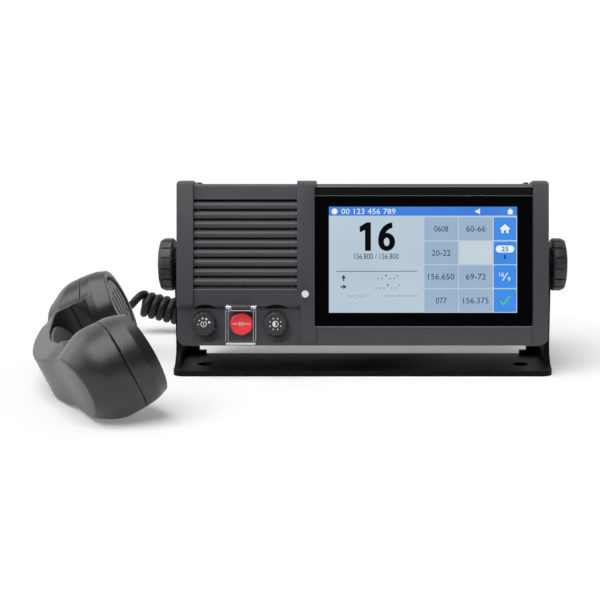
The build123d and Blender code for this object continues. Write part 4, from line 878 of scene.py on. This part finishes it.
# colours that shine by themselves through the glass, from pale ground to black digits
LIT_PANEL = lit("lit_pale_blue_panel", "b4c6d4", "bfcfdb")
LIT_BLANK_KEY = lit("lit_blank_key", "c3d0d8", "cad6dd")
LIT_KEY = lit("lit_grey_blue_key", "97afc8", "9fb6cd")
LIT_BLUE_KEY = lit("lit_blue_key", "3a84e2", "4590ea")
LIT_STATUS = lit("lit_status_blue", "3d78d8", "4a86e0")
LIT_BLACK = lit("unlit_black_digits", "030303", "050505")
LIT_DARK = lit("unlit_dark_digits", "2a3a4c", "33445a")
LIT_GREY = lit("unlit_grey_digits", "66788a", "6f8294")
LIT_WHITE = lit("lit_white_symbols", "dfe9f6", "eef4fb")
LIT_GREEN = lit("lit_green_tick", "37c85a", "45d468")


def in_picture(points):
    """Points given from the picture's upper left corner, downwards, as the unit's x and z."""
    return [(PICTURE_LEFT + x, PICTURE_TOP - y) for x, y in points]


def area(x0, x1, y0, y1, corner=0.0):
    return box_shape(
        PICTURE_LEFT + x0, PICTURE_LEFT + x1, PICTURE_TOP - y1, PICTURE_TOP - y0, corner)


def spot(x, y, radius, steps=24):
    return disc(PICTURE_LEFT + x, PICTURE_TOP - y, radius, steps)


def key_area(column, row):
    x, y = KEY_X[column], KEY_Y[row]
    return area(x, x + KEY_W[column], y, y + KEY_H, KEY_CORNER)


def key_middle(column, row):
    return KEY_X[column] + KEY_W[column] / 2, KEY_Y[row] + KEY_H / 2


def show(name, shapes, layer, finish):
    plates(name, shapes, PICTURE_FRONT - layer * INK, INK, finish)


def write(name, lines, layer, finish, weight=0.0):
    """Generic numbers in the picture; each line is (text, middle x, middle y, width, height).

    The text is extruded by half a unit each way, and that one unit becomes a layer's thickness.
    """
    front = PICTURE_FRONT - layer * INK
    bm = bmesh.new()
    for text, x, y, width, height in lines:
        data = bpy.data.curves.new("letters", "FONT")
        data.body = text
        data.offset = weight
        data.resolution_u = 3
        data.extrude = 0.5
        holder = bpy.data.objects.new("letters", data)
        mesh = bpy.data.meshes.new_from_object(holder)
        xs = [v.co.x for v in mesh.vertices]
        zs = [v.co.y for v in mesh.vertices]
        for v in mesh.vertices:
            along = (v.co.x - (min(xs) + max(xs)) / 2) / (max(xs) - min(xs)) * width
            up = (v.co.y - (min(zs) + max(zs)) / 2) / (max(zs) - min(zs)) * height
            place = (PICTURE_LEFT + x + along, front + (0.5 - v.co.z) * INK, PICTURE_TOP - y + up)
            v.co = UNIT @ (Vector(place) * MM)
        bm.from_mesh(mesh)
        bpy.data.objects.remove(holder)
        bpy.data.meshes.remove(mesh)
        bpy.data.curves.remove(data)
    piece = mesh_piece(name, bm)
    dress(piece, finish)
    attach(piece, "control_unit")


def show_ground():
    """The pale ground, the status bar, and the keys in three columns."""
    show("picture_ground", [area(0, PICTURE_W, STATUS_H, PICTURE_H)], 1, LIT_PANEL)
    show("picture_status_bar", [area(0, PICTURE_W, 0, STATUS_H)], 1, LIT_STATUS)
    rows = range(len(KEY_Y))
    pale = [key_area(column, row) for column in (0, 1) for row in rows if (column, row) != BLANK_KEY]
    show("picture_keys", pale, 2, LIT_KEY)
    show("picture_blank_key", [key_area(*BLANK_KEY)], 2, LIT_BLANK_KEY)
    show("picture_blue_keys", [key_area(2, row) for row in rows], 2, LIT_BLUE_KEY)


def show_numbers():
    """The channel in large digits, its frequency, and generic numbers on keys and status bar."""
    x, z = in_picture([STEM_MIDDLE])[0]
    stem = sweep(x, z, *STEM_OUTER, STEM_TIP, 180, 12)
    stem += [(x - reach, z - STEM_FOOT) for reach in (STEM_OUTER[0], STEM_INNER[0])]
    stem += sweep(x, z, *STEM_INNER, 180, STEM_TIP, 12)
    show("picture_channel", [in_picture(ONE), stem], 2, LIT_BLACK)
    x, z = in_picture([BOWL_MIDDLE])[0]
    bowl = sweep(x, z, *BOWL_OUTER, 0, 360, 40) + sweep(x, z, *BOWL_INNER, 360, 0, 40)
    show("picture_channel_bowl", [bowl], 3, LIT_BLACK)
    write("picture_frequency", [("156.800 / 156.800", 30.7, 32.1, 29.0, 3.7)], 2, LIT_DARK)
    lines = [
        (text, *key_middle(*key), width, KEY_DIGIT_H) for key, (text, width) in KEY_NUMBERS.items()]
    write("picture_key_numbers", lines, 3, LIT_DARK)
    write("picture_status_digits", [("00 123 456 789", 25.6, STATUS_MIDDLE, 35.0, 3.5)], 2, LIT_WHITE)


ARROW = [(0, 2.0), (-1.5, -0.2), (-0.45, -0.2), (-0.45, -2.0), (0.45, -2.0), (0.45, -0.2), (1.5, -0.2)]
ARROW_UP = (9.5, 46.1)
ARROW_RIGHT = (9.5, 51.9)
DASH_HALF = 0.6
POSITION_ROWS = (       # middles of the dashes, their y, and x of the degree and minute signs
    ((31.9, 34.4, 39.6, 42.1), 46.6, 37.0, 44.3),
    ((30.6, 33.1, 35.6, 40.6, 43.1), 52.7, 38.1, 45.4),
)


def show_position():
    """A rule, an arrow up and one to the right, and empty dashes for a position and a time."""
    show("picture_rule", [area(4.9, 57.0, 41.6, 42.0)], 2, LIT_DARK)
    turned = [(b, -a) for a, b in ARROW]
    up, right = in_picture([ARROW_UP, ARROW_RIGHT])
    marks = [shifted(ARROW, *up), shifted(turned, *right)]
    for dashes, y, degree, minute in POSITION_ROWS:
        marks += [area(x - DASH_HALF, x + DASH_HALF, y - 0.18, y + 0.22) for x in dashes]
        marks.append(spot(degree, y - 2.0, 0.55, 12))
        marks.append(area(minute - 0.2, minute + 0.2, y - 2.4, y - 1.1))
    show("picture_position_marks", marks, 2, LIT_DARK)
    faint = [area(x, x + 1.5, 57.7, 58.1) for x in (12.9, 15.1, 19.3, 21.5)]
    faint += [spot(18.1, y, 0.3, 8) for y in (57.0, 59.2)]
    faint += [area(36.0 + 2.2 * k, 37.4 + 2.2 * k, 57.6, 58.0) for k in range(10)]
    show("picture_faint_marks", faint, 2, LIT_GREY)


# symbols in the picture's own x and y
SPEAKER_HORN = [(96.2, 2.2), (97.9, 1.0), (97.9, 5.0), (96.2, 3.8)]
SMALL_HOUSE = [
    (117.5, 1.1), (119.6, 2.9), (119.0, 2.9), (119.0, 4.9), (116.0, 4.9), (116.0, 2.9), (115.4, 2.9)]
# symbols about their own middle, upwards: a house, the slash of the channel change, and a tick
HOUSE = [
    (0, 3.0), (3.3, 0.2), (2.7, -0.5), (2.3, -0.2), (2.3, -2.8), (0.8, -2.8), (0.8, -0.9),
    (-0.8, -0.9), (-0.8, -2.8), (-2.3, -2.8), (-2.3, -0.2), (-2.7, -0.5), (-3.3, 0.2)]
SLASH = bar(-1.5, -2.6, 1.7, 2.6, 0.6)
TICK = [bar(-3.0, -0.2, -0.9, -2.9, 0.9), bar(-1.2, -2.8, 3.2, 2.9, 0.9)]
POWER_DROP = 4.9        # middle of the power pill under its key's upper side
PILL_HALF = (6.0, 2.3)
PILL_CORNER = 2.2


def on_key(shape, row):
    """A symbol about its own middle, moved to the middle of a blue key."""
    x, y = key_middle(2, row)
    return shifted(shape, PICTURE_LEFT + x, PICTURE_TOP - y)


def show_symbols():
    """Symbols on the status bar; a house, power pill, channel change and tick on the blue keys."""
    x, change_y = key_middle(2, 2)
    power_y = KEY_Y[1] + POWER_DROP
    wide, tall = PILL_HALF
    symbols = [
        spot(3.6, STATUS_MIDDLE, 1.9), area(95.0, 96.2, 2.2, 3.8),
        in_picture(SPEAKER_HORN), in_picture(SMALL_HOUSE), on_key(HOUSE, 0),
        area(x - wide, x + wide, power_y - tall, power_y + tall, PILL_CORNER), on_key(SLASH, 2)]
    show("picture_white_symbols", symbols, 3, LIT_WHITE)
    write("picture_white_digits", [
        ("16", x - 2.2, change_y - 1.4, 3.0, 2.8), ("9", x + 2.6, change_y + 1.6, 1.7, 2.8)],
        3, LIT_WHITE)
    write("picture_power_digits", [
        ("25", x, power_y, 4.6, 3.0), ("1", x, power_y + 5.2, 1.2, 2.6)], 4, LIT_DARK, 0.01)
    show("picture_tick", [on_key(stroke, 3) for stroke in TICK], 3, LIT_GREEN)


def make_screen():
    show_ground()
    show_numbers()
    show_position()
    show_symbols()


# ---------------- details of the face
SECTION_Y = -30.5       # front of the sections between the ribs
GLASS_Y = -28.9
GLASS_TOP = 43.6
GLASS_BOTTOM = -40.8
GLASS_X = (-30.8, 109.8)
BROW_TOP = 49.1         # upper edge of the sloped wall above the glass
SHELF_X = (-31.0, 110.0)
GRILLE_X = (-109.6, -42.4)
GRILLE_BOTTOM = -16.8
RECESS_Y = -28.5
RECESS_TOP = -29.4
RECESS_BOTTOM = -51.2
DISH_R = 12.5           # the dished floor round a rotary knob
KNOB_ROOM = 8.8         # radius left free round a rotary knob

BROW_PROFILE = [        # y and z of the black sheet on the sloped wall
    (SECTION_Y, BROW_TOP), (GLASS_Y, GLASS_TOP + 0.3),
    (GLASS_Y - 0.06, GLASS_TOP + 0.28), (SECTION_Y - 0.06, BROW_TOP - 0.02)]
HIGHLIGHT_PROUD = 0.1
HIGHLIGHT_SUNK = 0.05
FLOOR_PLATE = 0.3       # thickness of the floor round a rotary knob
EDGE_HIGHLIGHTS = [                # reach in x, y, lower z and height of each painted edge highlight
    (SHELF_X, SECTION_Y, BROW_TOP + 0.05, 0.5),
    (SHELF_X, GLASS_Y, GLASS_TOP, 0.35),
    (GLASS_X, GLASS_Y - 0.1, GLASS_BOTTOM - 0.6, 0.4),
    (GRILLE_X, SECTION_Y, GRILLE_BOTTOM - 0.5, 0.45),
]


def strip(name, reach, profile, finish):
    """A strip across the unit's face; its profile is in y and z."""
    bm = bmesh.new()
    near, far = [[UNIT @ (Vector((x, y, z)) * MM) for y, z in profile] for x in reach]
    prism(bm, near, far)
    return built(name, bm, finish, "control_unit")


def make_face_details():
    """The black wall over the glass, painted edge highlights, rotary knob floors and painted hollow shade."""
    strip("brow_surround", SHELF_X, BROW_PROFILE, SURROUND_FINISH)
    # painted highlights: a thin bright strip along each edge
    for k, (reach, y, z, height) in enumerate(EDGE_HIGHLIGHTS):
        back = y + HIGHLIGHT_SUNK
        face = y - HIGHLIGHT_PROUD
        profile = [(back, z), (face, z + 0.08), (face, z + height - 0.15), (back, z + height)]
        strip(f"edge_highlight_{k}", reach, profile, EDGE_HIGHLIGHT_FINISH)
    case = FINISHES["case_plastic"]
    for name in ("volume_knob", "dimmer_knob"):
        x, z, _ = face_middle(name)
        rim = [
            (a, min(max(b, RECESS_BOTTOM), RECESS_TOP))
            for a, b in sweep(x, z, DISH_R, DISH_R, 0, 360, 64)]
        hole = sweep(x, z, KNOB_ROOM, KNOB_ROOM, 360, 0, 64)
        plates(name + "_floor", [rim + hole], RECESS_Y, FLOOR_PLATE, case)
        # painted shade: a dark plate in the hollow above the knob
        reach = math.degrees(math.acos((RECESS_TOP - z) / DISH_R))
        shade = sweep(x, z, DISH_R, DISH_R - 0.1, 90 - reach, 90 + reach, 16)
        plates(name + "_hollow", [shade], RECESS_Y + FLOOR_PLATE, 0.2, HOLLOW_SHADE_FINISH)


# ---------------- blocks on the base plate
# x and z; stepped to let the housing tilt
GUSSET = [(123.5, 3.5), (107.8, 3.5), (107.8, 6.6), (112.5, 6.6), (112.5, 9.6), (123.5, 9.6)]
GUSSET_Y = (17.0, 20.5)


def make_gussets():
    """The blocks behind the bezel's lower corners, up from the base plate."""
    bm = bmesh.new()
    for side in (-1, 1):
        near, far = [[Vector((side * x, y, z)) * MM for x, z in GUSSET] for y in GUSSET_Y]
        prism(bm, near, far)
    built("gusset_blocks", bm, FINISHES["bracket_plastic"], "bracket")


# ---------------- faces of the handset's caps
CAP_X = 80.6            # middle of a cap along the handset
CAP_CANT = math.radians(12.5)
CAP_RECESS = 1.2
CAP_DISC_R = 20.4
CAP_GROOVE = 1.9        # width of the dark groove round the disc
CAPS = (                # side, number of slots and their pitch
    ("mouthpiece_cap", 1, 4, 8.0),
    ("earpiece_cap", -1, 5, 7.2),
)
CAP_SLOT_HALF = 12.5    # half the length of a slot in the middle
CAP_SLOT_TAPER = 0.25   # how fast the slots get shorter outwards
CAP_SLOT_W = 2.3
CAP_SLOT_CORNER = 1.1


def cap_plane(side):
    """The plane of a cap's rim: x across the handset, y along the cap, z out of it."""
    out = Vector((-side * math.sin(CAP_CANT), math.cos(CAP_CANT), 0))
    across = Vector((0, 0, 1))
    axes = Matrix((across, out.cross(across), out)).transposed().to_4x4()
    return handset_frame() @ Matrix.Translation(Vector((side * CAP_X, 0, 0)) * MM) @ axes


def cap_slots(count, pitch):
    slots = []
    for k in range(count):
        off = (k - (count - 1) / 2) * pitch
        half = CAP_SLOT_HALF - abs(off) * CAP_SLOT_TAPER
        slots.append(box_shape(-half, half, off - CAP_SLOT_W / 2, off + CAP_SLOT_W / 2, CAP_SLOT_CORNER))
    return slots


def make_cap_faces():
    """The slotted discs in the two caps of the handset, with painted shade in each groove and slot."""
    face = disc(0, 0, CAP_DISC_R, 64)
    groove = arc(0, 0, CAP_DISC_R - CAP_GROOVE / 2, 0, 360, CAP_GROOVE, 64)
    for node, side, count, pitch in CAPS:
        place = cap_plane(side)
        # each layer's front above the floor of the recess, and its thickness
        for name, shapes, rise, depth, finish in (
                ("_disc", [face], 0.35, 0.3, DISC_FINISH),
                # painted shade: dark plates in the groove and the slots
                ("_groove_shade", [groove], 0.39, 0.05, SLOT_SHADE_FINISH),
                ("_slot_shade", cap_slots(count, pitch), 0.4, 0.06, SLOT_SHADE_FINISH)):
            top = rise - CAP_RECESS
            bm = bmesh.new()
            for shape in shapes:
                near, far = [
                    [place @ (Vector((x, y, z)) * MM) for x, y in shape] for z in (top, top - depth)]
                prism(bm, near, far)
            built(node + name, bm, finish, "handset")


# ---------------- painted highlights on the edges of the clear cover
COVER_LINES = ((0.15, 0.6), (1.75, 0.45))   # inset and width of the two lines on each side
LINE_FOOT = 2.2         # where the lines start above the cover's lower edge
LINE_HEAD = 3.6         # where they end below its upper edge
LINE_CORNER = 0.1
FOOT_EDGE = (0.35, 1.45)    # lower and upper side of the painted highlight along the cover's foot
FOOT_INSET = 0.5
FOOT_CORNER = 0.4
HEAD_LINE_W = 0.4
HEAD_INSET = 3.4
EDGE_PROUD = 0.1
EDGE_THICK = 0.12


def make_cover_edges():
    """Painted highlights along the clear cover's moulded edges, which scatter the light along its outline."""
    low, high = unit_box("distress_cover")
    front = low.y - EDGE_PROUD
    sides = []
    for outer, inward in ((low.x, 1), (high.x, -1)):
        for inset, width in COVER_LINES:
            a, b = sorted((outer + inward * inset, outer + inward * (inset + width)))
            sides.append(box_shape(a, b, low.z + LINE_FOOT, high.z - LINE_HEAD, LINE_CORNER))
    plates("cover_side_highlights", sides, front, EDGE_THICK, COVER_EDGE_HIGHLIGHT, "cover")
    foot = box_shape(
        low.x + FOOT_INSET, high.x - FOOT_INSET, low.z + FOOT_EDGE[0], low.z + FOOT_EDGE[1], FOOT_CORNER)
    head = box_shape(
        low.x + HEAD_INSET, high.x - HEAD_INSET, high.z - LINE_HEAD - HEAD_LINE_W, high.z - LINE_HEAD,
        LINE_CORNER)
    ends = [foot, head]
    plates("cover_end_highlights", ends, front, EDGE_THICK, COVER_END_HIGHLIGHT, "cover")


# ---------------- printed marks
RING_R = 1.75           # the ring in the middle of a rotary knob's symbol
SUN_R = 1.6             # the filled half inside the dimmer's ring
VOLUME_DOTS = {185: 0.42, 141: 0.48, 102: 0.6, 62: 0.7, 18: 0.78}   # radius by angle
VOLUME_DOTS_R = 3.6
DIMMER_DOTS_R = 3.7
BUTTON_DOTS = (-5.2, 2.8)       # start of each row of three dots
BUTTON_STEP = 1.2
RIB_DOT = (-36.9, -20.0)
RIB_DOT_R = 2.3


def mark_volume():
    """An open ring with a stroke, and dots that grow clockwise."""
    x, z, front = face_middle("volume_knob")
    shapes = [arc(x, z, RING_R, 112, 428, 0.5, 28), bar(x, z - 1.0, x, z + 1.3, 0.45)]
    for angle, radius in VOLUME_DOTS.items():
        turn = math.radians(angle)
        shapes.append(disc(
            x + VOLUME_DOTS_R * math.cos(turn), z + VOLUME_DOTS_R * math.sin(turn), radius, 16))
    plates("volume_symbol", shapes, front - INK, INK, WHITE_INK, "volume")


def mark_dimmer():
    """A half-filled ring with eight dots round it."""
    x, z, front = face_middle("dimmer_knob")
    shapes = [arc(x, z, RING_R, 0, 360, 0.45, 32), sweep(x, z, SUN_R, SUN_R, 90, 270, 12)]
    for dot_x, dot_z in sweep(x, z, DIMMER_DOTS_R, DIMMER_DOTS_R, 22.5, 337.5, 7):
        shapes.append(disc(dot_x, dot_z, 0.42, 12))
    plates("dimmer_symbol", shapes, front - INK, INK, WHITE_INK, "dimmer")


def mark_button():
    """Three dots, three strokes and three dots."""
    x, z, front = face_middle("distress_button")
    shapes = [
        disc(x + start + BUTTON_STEP * k, z, 0.5, 12) for start in BUTTON_DOTS for k in range(3)]
    for k in range(3):
        stroke = x + BUTTON_STEP * (k - 1)
        shapes.append(box_shape(stroke - 0.35, stroke + 0.35, z - 1.2, z + 1.2))
    plates("button_marks", shapes, front - INK, INK, PINK_INK, "distress")


def mark_rib():
    """A plain white badge on the middle rib."""
    front = unit_box("front_bezel")[0].y
    badge = disc(*RIB_DOT, RIB_DOT_R, 32)
    plates("rib_dot", [badge], front - INK, INK + 0.02, WHITE_INK)


def make_marks():
    mark_volume()
    mark_dimmer()
    mark_button()
    mark_rib()


def make_scene():
    bpy.context.scene.view_settings.view_transform = "Standard"
    make_camera()
    make_cords()
    make_studio()
    finish_nodes()
    soften_nodes()
    make_screen()
    make_face_details()
    make_gussets()
    make_cap_faces()
    make_cover_edges()
    make_marks()


make_scene()
